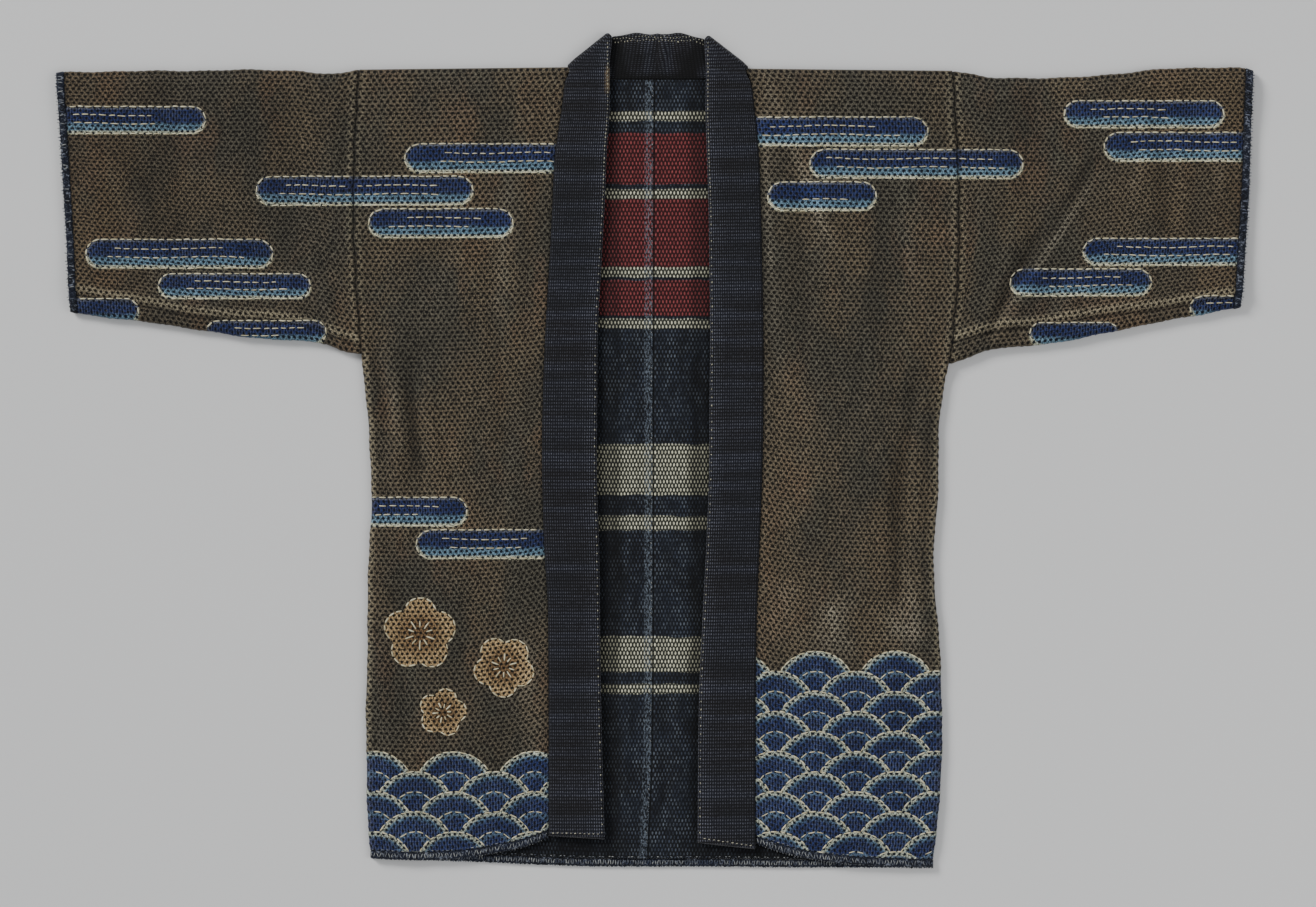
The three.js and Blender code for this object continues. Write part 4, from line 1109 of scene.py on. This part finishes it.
def sleeve_middle(side, sign, share, side_distance, on_front, fine=1.0):
    """The middle of a flattened sleeve's cloth: share runs from armhole to cuff, and side_distance from
    the top fold to the lower fold, on the back or on the front."""
    column = COLUMN[side]
    x_first = BODY_HALF + share * SLEEVE_LENGTH
    top = along(SLEEVE_EDGE, x_first, column) - QUILTED_CLOTH / 2 + uneven_edge(x_first + 40)
    bottom = along(SLEEVE_EDGE, x_first, column + 2) + QUILTED_CLOTH / 2 + uneven_edge(x_first)
    near_fold = np.minimum(side_distance, SLEEVE_SIDE - side_distance)
    turn = np.minimum(1, near_fold / ROLL_LENGTH) * math.pi / 2
    straight = np.clip((side_distance - ROLL_LENGTH) / (SLEEVE_SIDE - 2 * ROLL_LENGTH), 0, 1)
    inward = SLEEVE_ROLL * (1 - np.cos(turn))
    y = mix(top - inward, bottom + inward, straight)
    armhole = along(SIDE_EDGE, y, column) + seam_wobble(y) + ARMHOLE_GAP / 2
    x = mix(armhole, along(CUFF_EDGE, y, column), share)
    lift = SLEEVE_ROLL * np.sin(turn)

    down = side_distance / SLEEVE_SIDE
    near_folds = 1 - ease(0.06, 0.3, down) * ease(0.94, 0.7, down)
    fullness = 2.4 * near_folds * ease(0, 0.06, down) * ease(1, 0.94, down)
    seam_y = along(UNDERARM_SEAM, x, column)
    ridge = 1.5 * bell(y - seam_y - 8, 4) - fine * 1.5 * bell(y - seam_y, 2.4)
    soft = ease(top, top - FOLD_CLEARANCE, y) * ease(bottom, bottom + FOLD_CLEARANCE / 2, y)
    folded = (2.0 * creased(SLEEVE_CREASES[side], sign * x, y) + 1.2 * slack(sign * x, y, 21 + column)) * soft
    puckers = 1 + 0.35 * np.sin(y / 2.6 + 1.5 * np.sin(y / 23))
    from_armhole = x - armhole
    beside_armhole = 1.3 * puckers * bell(from_armhole - 3.5, 3)
    near_cuff = -0.5 * bell((1 - share) * SLEEVE_LENGTH - BINDING_WIDTH, 4)
    at_seams = fine * (beside_armhole + near_cuff) * ease(0, 12, near_fold)
    raised = (fullness + ridge + folded) * ease(0, 0.05, share) + at_seams
    z = np.where(on_front, SLEEVE_MIDDLE + lift + raised, SLEEVE_MIDDLE - lift)
    return np.stack([sign * x, y, z], axis=-1)


def sleeve_rounds():
    """Distances down the back and then back up the front, with whether each is on the front."""
    roll = [0, 1.1, 2.2, 3.3]
    lower_roll = [SLEEVE_SIDE - r for r in roll]
    back = roll + list(np.arange(4.4, SLEEVE_SIDE - 4, ROW_PITCH)) + lower_roll[:0:-1]
    front = lower_roll + list(np.arange(SLEEVE_SIDE - 4.4, 4.3, -ROW_PITCH / 2)) + roll[::-1]
    distance = np.array(back + front)
    on_front = np.array([False] * len(back) + [True] * len(front))
    return distance, on_front, np.where(on_front, 2 * SLEEVE_SIDE - distance, distance)


for side, sign in SIDES:
    distance, on_front, round_cloth = sleeve_rounds()
    sleeve_width = SLEEVE_LENGTH - BINDING_WIDTH - SEAM_GAP
    across = np.arange(0, SLEEVE_CLOTH_LENGTH + 0.1, DOT_PITCH / 2)
    across_grid, distance_grid = np.meshgrid(across, distance)
    cloth_round = np.repeat(round_cloth[:, None], len(across), axis=1)
    front_grid = np.repeat(on_front[:, None], len(across), axis=1)
    share = across_grid / SLEEVE_CLOTH_LENGTH * sleeve_width / SLEEVE_LENGTH
    places = sleeve_middle(side, sign, share, distance_grid, front_grid)
    cloth = np.stack([sign * across_grid, cloth_round], axis=-1)
    sleeve = laid_grid(f"sleeve_{side}_cloth", places, cloth)
    dots = stitch_dots(across_grid, cloth_round, DOT_PITCH, ROW_PITCH).ravel()
    set_pattern(sleeve)
    x, y = places[..., 0], places[..., 1]
    off_seam = y - along(UNDERARM_SEAM, np.abs(x), COLUMN[side])
    # Painted shade: darker in the armhole seam, the underarm seam, the gap at the cuff binding and the
    # troughs of the creases.
    seam = bell(across_grid, 1.5) + 0.9 * bell(off_seam, 1.3) * front_grid
    seam = seam + 0.8 * bell(SLEEVE_CLOTH_LENGTH - across_grid, 1.4)
    tension = 0.65 + 0.35 * np.sin(y * 2 * math.pi / 11 + 2 * np.sin(y / 37))
    wear = 0.62 * tension * bell(across_grid - 4.2, 2.2)
    wear = wear + 0.8 * bell(off_seam - 7, 3.6) * front_grid
    crease_trough_shade = 0.24 * np.clip(-creased(SLEEVE_CREASES[side], x, y) - 0.2, 0, 1.6) * front_grid
    set_wear_fade_and_shade(sleeve, x, y, seam + crease_trough_shade, wear)
    set_reading(sleeve, "dots", dots)
    join_edges()
    kept_dots = np.empty(len(sleeve.data.vertices), np.float32)
    sleeve.data.attributes["dots"].data.foreach_get("value", kept_dots)
    give_thickness(sleeve, QUILTED_CLOTH, kept_dots)
    sleeve.data.attributes.remove(sleeve.data.attributes["dots"])
    dress(sleeve, QUILTED_MATERIAL, f"sleeve_{side}")
    outlines = sew_pattern(f"sleeve_{side}", surface_of(sleeve))
    rests_on = [f"front_{side}_cloth"]

# Hem and cuff bindings. Narrow strips of blue cotton folded round the raw edges of the hem and the
# sleeve ends. Slanting whip stitches of blue and navy thread hold them, on the strip and round its edge.
BINDING_CLOTH = 3.6
BACK_BINDING_HALF = 1.7
FRONT_HEM_ROWS, BACK_HEM_ROWS = 92, 260
BACK_HEM_LENGTH = 590
WHIP_PITCH = 3.1
BACK_WHIP_PITCH = 2.6


def closed_strip(name, middle, half_thickness, cloth, round_rows=False):
    """A folded strip: its middle surface (rows, across), thickened to both sides and closed along both
    edges. Its ends are closed too, or joined to each other where the strip runs round a tube."""
    if round_rows:
        along_rows = np.roll(middle, -1, axis=0) - np.roll(middle, 1, axis=0)
    else:
        along_rows = np.gradient(middle, axis=0)
    normal = np.cross(np.gradient(middle, axis=1), along_rows)
    normal /= np.maximum(np.linalg.norm(normal, axis=-1, keepdims=True), 1e-9)
    offset = normal * half_thickness[..., None]
    inner = slice(-2, 0, -1)
    places = np.concatenate([middle + offset, (middle - offset)[:, inner], (middle + offset)[:, :1]], axis=1)
    cloth = np.concatenate([cloth, cloth[:, inner], cloth[:, :1]], axis=1)
    if round_rows:
        places = np.concatenate([places, places[:1]], axis=0)
        last = cloth[-1:] + (cloth[-1:] - cloth[-2:-1])
        cloth = np.concatenate([cloth, last], axis=0)
    return laid_grid(name, places, cloth, closed=True)


def rounded(distance_from_edge, radius):
    """Share of the full thickness this far from a rounded edge."""
    short = 1 - np.clip(distance_from_edge / radius, 0, 1)
    return np.sqrt(np.maximum(0, 1 - short**2))


def binding_cloth():
    """Blue cotton, worn pale along the folds, with the flecks of its coarse weave."""
    material, shader, place, cloth = start_material("blue_binding_cotton")
    across, down = split(cloth)
    flecks = mottle(place, 2.6, 2)
    threads = mottle(place, 1.2, 2)
    patches = mottle(place, 28, 3)
    colour = blend(patches.rising(0.36, 0.64), tint(13, 15, 22), tint(17, 22, 36))
    off_across = across * 0.6 + (flecks - 0.5) * 1.4
    dash = stitch_distance(off_across, down + (threads - 0.5) * 1.4, 2.4, 1.5).rising(0.9, 0.3)
    colour = blend(dash * flecks.rising(0.4, 0.62) * 0.35, colour, tint(100, 108, 126))
    specks = mottle(place, 3.4, 2).rising(0.58, 0.66)
    colour = blend(specks * 0.6, colour, tint(128, 134, 146))
    colour = brighten(colour, threads.rising(0.28, 0.7) * 0.9 + 0.45)
    finish_material(shader, colour, flecks * 0.7 + threads * 0.4, 0.8, 0.8)
    return material


BINDING_MATERIAL = binding_cloth()
BINDING_ACROSS = np.array([0, 0.12, 0.45, 1.0, 1.7, 2.9, 4.1, 5.3, 6.5, 7.2, 7.75, 8.08, BINDING_WIDTH])
BINDING_EDGE = rounded(np.minimum(BINDING_ACROSS, BINDING_WIDTH - BINDING_ACROSS), 1.8)


def rounded_ends(share, length):
    """Share of the full thickness along a strip that is rounded off at both ends."""
    return rounded(np.minimum(share, 1 - share) * length, 2)[:, None]


def frayed_edge(rows, seed):
    """How far each row of a binding strays outward where the whip stitches pull it, most at the edge."""
    draw = np.random.default_rng(seed)
    strayed = draw.normal(0, 0.3, rows) + np.where(np.arange(rows) % 2, 0.42, -0.42)
    return strayed[:, None] * (BINDING_ACROSS / BINDING_WIDTH) ** 2


def finish_binding(binding, node, threads_name, slants, thickness, thread, edges):
    """Dresses a binding and sews its whip stitches on."""
    dress(binding, BINDING_MATERIAL, node)
    bpy.ops.object.shade_smooth()
    threads = sewn(threads_name, surface_of(binding), slants, thickness, thread, 9, edges)


for side, sign in SIDES:
    along_hem = np.linspace(0, 1, FRONT_HEM_ROWS)
    at_hem = front_middle(side, sign, along_hem, np.ones(FRONT_HEM_ROWS))
    middle = at_hem[:, None, :].repeat(len(BINDING_ACROSS), axis=1)
    middle[..., 1] -= SEAM_GAP + BINDING_ACROSS + frayed_edge(FRONT_HEM_ROWS, 70 + COLUMN[side])
    drawn = 1 + 0.1 * np.sin(along_hem * FRONT_WIDTH / 2.4 * math.pi)[:, None]
    half = BINDING_CLOTH / 2 * BINDING_EDGE * drawn * rounded_ends(along_hem, FRONT_WIDTH)
    cloth = np.stack(np.meshgrid(BINDING_ACROSS, along_hem * FRONT_WIDTH), axis=-1)
    strip = closed_strip(f"hem_binding_front_{side}_strip", middle, half, cloth)
    out = np.arange(108, 299, WHIP_PITCH)
    edges = [[sign * x, y, 0, -1] for x, y in zip(out + 1.5, along(FRONT_HEM, out + 1.5, COLUMN[side]))]
    slants = []
    for k, (x, y) in enumerate(zip(out, along(FRONT_HEM, out, COLUMN[side]))):
        lean = 0.9 if k % 2 else -0.9
        slants.append([sign * (x + lean), y + BINDING_WIDTH - 1.0, sign * (x - lean), y + 1.6])
    node, rests_on = f"hem_binding_front_{side}", [f"front_{side}_cloth"]
    name = f"hem_whip_stitches_{side}"
    finish_binding(strip, node, name, slants, 0.8, BLUE_THREAD, edges)

    distance, on_front, round_cloth = sleeve_rounds()
    keep = np.ones(len(distance), bool)
    keep[np.flatnonzero(np.diff(round_cloth) < 0.01) + 1] = False
    distance, on_front, round_cloth = distance[keep][:-1], on_front[keep][:-1], round_cloth[keep][:-1]
    share = 1 - (BINDING_WIDTH - BINDING_ACROSS) / SLEEVE_LENGTH
    share_grid, distance_grid = np.meshgrid(share, distance)
    front_grid = np.repeat(on_front[:, None], len(share), axis=1)
    middle = sleeve_middle(side, sign, share_grid, distance_grid, front_grid, fine=0)
    middle[..., 0] += sign * frayed_edge(len(distance), 60 + COLUMN[side])
    drawn = 1 - 0.06 * (1 + np.sin(round_cloth / 2.2))[:, None]
    half = QUILTED_CLOTH / 2 * BINDING_EDGE * drawn
    cloth = np.stack(np.meshgrid(BINDING_ACROSS, round_cloth), axis=-1)
    strip = closed_strip(f"cuff_binding_{side}_strip", middle, half, cloth, round_rows=True)
    slants, edges = [], []
    for k, y in enumerate(np.arange(156, 394, WHIP_PITCH)):
        edge = along(CUFF_EDGE, y, COLUMN[side])
        edges.append([sign * (edge + 0.7 + 0.7 * math.sin(k * 2.1)), y + 1.5, sign, 0])
        lean = 0.9 if k % 2 else -0.6
        inner = edge - BINDING_WIDTH + 0.6 * math.sin(k * 1.7)
        slants.append([sign * inner, y + lean, sign * (edge - 0.7), y - lean])
    node, rests_on = f"cuff_binding_{side}", [f"sleeve_{side}_cloth"]
    name = f"cuff_whip_stitches_{side}"
    thread = BLUE_THREAD if side == "right" else NAVY_THREAD
    finish_binding(strip, node, name, slants, 0.95, thread, edges)

along_hem = np.linspace(0, 1, BACK_HEM_ROWS)
hem_x = mix(-along(SIDE_EDGE, HEM_Y, 1), along(SIDE_EDGE, HEM_Y, 2), along_hem)
hem_y = along(BACK_HEM, hem_x)[:, None] + (BINDING_WIDTH - BINDING_ACROSS)
hem_y = hem_y - frayed_edge(BACK_HEM_ROWS, 75)
middle = np.stack([0 * hem_y + hem_x[:, None], hem_y, 0 * hem_y + BACK_BINDING_HALF], axis=-1)
drawn = 1 - 0.05 * (1 + np.sin(along_hem * BACK_HEM_LENGTH / 2.5 * math.pi))[:, None]
half = BACK_BINDING_HALF * BINDING_EDGE * drawn * rounded_ends(along_hem, BACK_HEM_LENGTH)
cloth = np.stack(np.meshgrid(BINDING_ACROSS, along_hem * BACK_HEM_LENGTH), axis=-1)
strip = closed_strip("hem_binding_back_strip", middle, half, cloth)
slants, edges = [], []
for k, x in enumerate(np.arange(-296, 298, BACK_WHIP_PITCH)):
    lean = 0.7 if k % 2 else -0.5
    y = along(BACK_HEM, x)
    slants.append([x + lean, y + BINDING_WIDTH - 1.2, x - lean, y + 2.0])
    edges.append([x + 1.3, y, 0, -1])
node, rests_on, name = "hem_binding_back", ["back_right_cloth", "back_left_cloth"], "hem_whip_stitches_back"
finish_binding(strip, node, name, slants, 1.0, BLUE_THREAD, edges)

# Collar band. A long strip of dark navy cotton folded in four and stitched all over in close rows, sewn
# to both fronts and the neck, with worn pale stitches along its free edge. At each side of the neck it
# folds over, so that its inner face shows.
BAND_CLOTH = 6.0
BAND_SEAM_CLOTH = 4.4
BAND_MID = 8.5
NECK_STRIP_MID = 3.3
ROLL_SEAM, ROLL_FREE = 2.7, 3.5
BAND_STITCH_ROW = 3.54
BAND_STITCH = 2.3
BAND_ROWS, FOLD_ROWS, NECK_ROWS = 455, 11, 28
BAND_WIDTH = 53.0
NECK_CENTRE_X = 2.6
BAND_HEM = {"right": (-403.6, -407.4), "left": (-417.6, -411)}
BAND_FOLD = {"right": ((89.6, 399.4), (45.2, 433.6)), "left": ((95.4, 398.2), (51.8, 430.8))}

# Painted shade in the hollows of the neck strip: beside both edges of the band, down its pleat and along its
# seam.
NECK_HOLLOW_SHADE = [
    (-42, 436, -36, 390, 8, 1.2), (50, 430, 36, 394, 11, 1.2), (7, 438, 8, 410, 4, 0.8),
    (-34, 392, 38, 391, 4, 0.7), (-14, 424, -20, 400, 7, 0.4), (28, 430, 24, 410, 6, 0.4),
]  # fmt: skip


def band_rows(side, sign, across):
    """The middle of one half of the band as rows across it, from its hem to the centre of the neck, and
    how far along the strip each point is. The strip's own rows stay straight across it up to the fold."""
    column = COLUMN[side]
    (seam_x, seam_y), (free_x, free_y) = BAND_FOLD[side]
    seam_hem, free_hem = BAND_HEM[side]
    share = np.linspace(0, 1, BAND_ROWS)[:, None]
    row_seam_y = mix(seam_hem, seam_y, share)
    row_free_y = mix(free_hem, free_y, share)
    row_seam_x = mix(along(BAND_SEAM, row_seam_y, column), seam_x, ease(seam_y - 14, seam_y, row_seam_y))
    row_free_x = mix(along(BAND_FREE, row_free_y, column), free_x, ease(free_y - 30, free_y, row_free_y))
    rise = ease(seam_y - 70, seam_y, row_seam_y)
    x = sign * mix(row_seam_x, row_free_x, across)
    y = mix(row_seam_y, row_free_y, across)
    waves = 0.5 * slack(x, y, 41 + column) + 0.25 * np.sin(y / 9 + 2 * np.sin(y / 31)) * (across - 0.2)
    level = BAND_MID + 0.5 * np.sin(math.pi * across) + waves * ease(1, 0.92, share)
    fold_top = NECK_STRIP_MID + 2 * mix(ROLL_SEAM, ROLL_FREE, across)
    front = np.stack([x, y, mix(level, fold_top, rise)], axis=-1)

    turn = np.linspace(0, 1, FOLD_ROWS)[1:, None]
    roll = mix(ROLL_SEAM, ROLL_FREE, across)
    out_x, out_y = sign * (free_y - seam_y), seam_x - free_x
    length = math.hypot(out_x, out_y)
    bulge = roll * np.sin(math.pi * turn)
    fold_x = sign * mix(seam_x, free_x, across) + out_x / length * bulge
    fold_y = mix(seam_y, free_y, across) + out_y / length * bulge
    fold = np.stack([fold_x, fold_y, NECK_STRIP_MID + roll + roll * np.cos(math.pi * turn)], axis=-1)

    share = np.linspace(0, 1, NECK_ROWS)[1:, None]
    neck_seam_x = mix(sign * seam_x, NECK_CENTRE_X, share)
    neck_free_x = mix(sign * free_x, NECK_CENTRE_X, share)
    neck_seam_y = mix(seam_y, BACK_NECK_Y + 0.3, ease(0, 0.45, share))
    wave = 1.4 * np.sin(3 * math.pi * share) * share
    neck_free_y = mix(free_y, 437.6, ease(-0.2, 0.6, share)) - wave
    x = mix(neck_seam_x, neck_free_x, across)
    y = mix(neck_seam_y, neck_free_y, across)
    pleat = 2.2 * bell(x - 9 - (y - 410) * 0.1, 3.5) * ease(0.1, 0.5, across)
    hollow = -0.2 * bell(x - 1, 5) + 1.1 * np.exp(-((across - 0.75) ** 2) / 0.06)
    centre_rise = (pleat + hollow) * ease(0.1, 0.7, share)
    neck = np.stack([x, y, NECK_STRIP_MID + centre_rise], axis=-1)
    at_fold = mix(seam_y, free_y, across)
    past_fold = at_fold + math.pi * roll * turn
    along_neck = past_fold[-1:] + np.abs(x - fold_x[-1:])
    strip = np.concatenate([front[..., 1], past_fold, along_neck], axis=0)
    return np.concatenate([front, fold, neck], axis=0), strip


def band_cloth():
    """Navy cotton under close rows of small running stitches, streaked where it has faded, with painted shade
    in the hollows of the neck strip.
    """
    material, shader, place, cloth = start_material("navy_stitched_band", 0.88, 0.2)
    across, down = split(cloth)
    wander = (mottle(place, 4, 1) - 0.5) * 0.6
    dot = stitch_distance(across + wander, (down + wander) * 0.55, BAND_STITCH, BAND_STITCH_ROW * 0.55, False)
    on_stitch = dot.rising(0.85, 0.3)
    rows = ((down / BAND_STITCH_ROW + 0.5) * math.pi).work("SINE").work("ABSOLUTE")
    streaks = mottle(cloth, 22, 3, (0.12, 1.2, 1.0))
    patches = mottle(place, 80, 3)
    threads = mottle(place, 1.1, 2)
    flecks = mottle(place, 2.0, 2)
    colour = blend(patches.rising(0.35, 0.65), tint(13, 11, 14), tint(12, 13, 18))
    colour = blend(streaks.rising(0.42, 0.7) * 0.6, colour, tint(20, 23, 36))
    free_edge = across.rising(34, 52) * 0.34
    fleck_share = (streaks.rising(0.34, 0.7) * 0.38 + 0.2 + free_edge) * (flecks.rising(0.3, 0.6) * 0.7 + 0.3)
    colour = blend(on_stitch * fleck_share, colour, tint(120, 123, 136))
    colour = brighten(colour, threads.rising(0.25, 0.7) * 0.82 + 0.36)
    worn, hollow, _ = kept_readings(material, "wear")
    colour = blend(worn * flecks.rising(0.3, 0.62), colour, tint(122, 106, 80))
    # Painted shade in the hollows of the neck strip.
    colour = brighten(colour, 1 - hollow * 0.82)
    height = on_stitch * 0.8 + rows * 0.05 + threads * 0.3
    finish_material(shader, colour, height, 0.8, 0.8)
    return material


edge_steps = [0, 0.1, 0.4, 1.0, 1.9, 3.1]
far_steps = [BAND_WIDTH - step for step in edge_steps[::-1]]
band_across = np.array(edge_steps + list(np.arange(5.2, 48, BAND_STITCH)) + far_steps)
share_across = band_across / BAND_WIDTH
right_half, right_strip = band_rows("right", -1, share_across)
left_half, left_strip = band_rows("left", 1, share_across)
band_middle = np.concatenate([right_half, left_half[-2::-1]], axis=0)
left_strip = left_strip + right_strip[-1:] - left_strip[-1:]
band_strip = np.concatenate([right_strip, left_strip[-2::-1]], axis=0)
row_length = np.linalg.norm(np.diff(band_middle[:, len(band_across) // 2], axis=0), axis=1)
band_along = np.concatenate([[0], np.cumsum(row_length)])
half_thickness = mix(BAND_SEAM_CLOTH, BAND_CLOTH, ease(0, 0.2, share_across)) / 2
half_thickness = half_thickness * rounded(band_across, 2.2) * rounded(BAND_WIDTH - band_across, 3.0)
end_distance = np.minimum(band_along, band_along[-1] - band_along)
row_relief = 1 + 0.02 * np.where(np.arange(len(band_along)) % 2 == 0, 1, -1)
half_thickness = half_thickness[None, :] * rounded(end_distance, 2.4)[:, None] * row_relief[:, None]
band_uv = np.stack([np.broadcast_to(band_across, band_strip.shape), band_strip], axis=-1)
band = closed_strip("collar_band_strip", band_middle, half_thickness, band_uv)
places = points_of(band)
free_edge = np.abs(np.abs(places[:, 0]) - np.where(places[:, 0] < 0, 46, 53)) < 4.5
worn_length = ease(372, 380, places[:, 1]) * ease(406, 398, places[:, 1])
tan_strip = free_edge * (places[:, 0] < -46) * (places[:, 2] > 9) * worn_length
on_neck = (places[:, 2] < 7) & (places[:, 1] > BACK_NECK_Y - 3)
# Painted shade in the neck strip's hollows, along its seam, and a little over the whole strip.
hollow = 1.25 * creased(NECK_HOLLOW_SHADE, places[:, 0], places[:, 1]) + 0.12
hollow = hollow + bell(places[:, 1] - BACK_NECK_Y - 0.6, 1.8)
hollow = np.clip(hollow, 0, 1.1) * on_neck
# The band keeps its worn tan strip and this painted shade as one reading.
set_reading(band, "wear", np.stack([0.75 * tan_strip, hollow, np.zeros(len(places))], axis=-1))
dress(band, band_cloth(), "collar_band")
bpy.ops.object.shade_smooth()
SEAM_THREAD = thread_cotton("worn_seam_thread", tint(132, 130, 118), tint(190, 186, 160))
band_stitches = []
for side, sign in SIDES:
    column = COLUMN[side]
    for y in np.concatenate([np.arange(250, 430, 4.3), np.arange(-400, 250, 8.6)]):
        x = sign * (along(BAND_FREE, y, column) + 2.2)
        band_stitches.append([x, y + 0.9, x, y - 0.9])
    seam_hem, free_hem = BAND_HEM[side]
    for share in np.arange(0.08, 0.95, 0.08):
        x = sign * mix(along(BAND_SEAM, seam_hem, column), along(BAND_FREE, free_hem, column), share)
        y = mix(seam_hem, free_hem, share) + 3.4 + 2.5 * share
        band_stitches.append([x - 1.2, y, x + 1.2, y + 0.2])
neck_draw = np.random.default_rng(17)
for x in np.arange(-44, 50, 3.3):
    for below in (2.6, 6.2):
        y = 436.6 - below - 1.4 * math.sin((x + 6) / 15) ** 2 - 4.5 * ease(36, 50, abs(x))
        y = y + neck_draw.normal(0, 0.5)
        band_stitches.append([x + below / 3, y + 0.7, x + below / 3 + 0.2, y - 0.7])
edge_row = sewn("band_edge_stitches", surface_of(band), band_stitches, 1.1, SEAM_THREAD, 13)
rests_on = ["front_right_cloth", "front_left_cloth"]
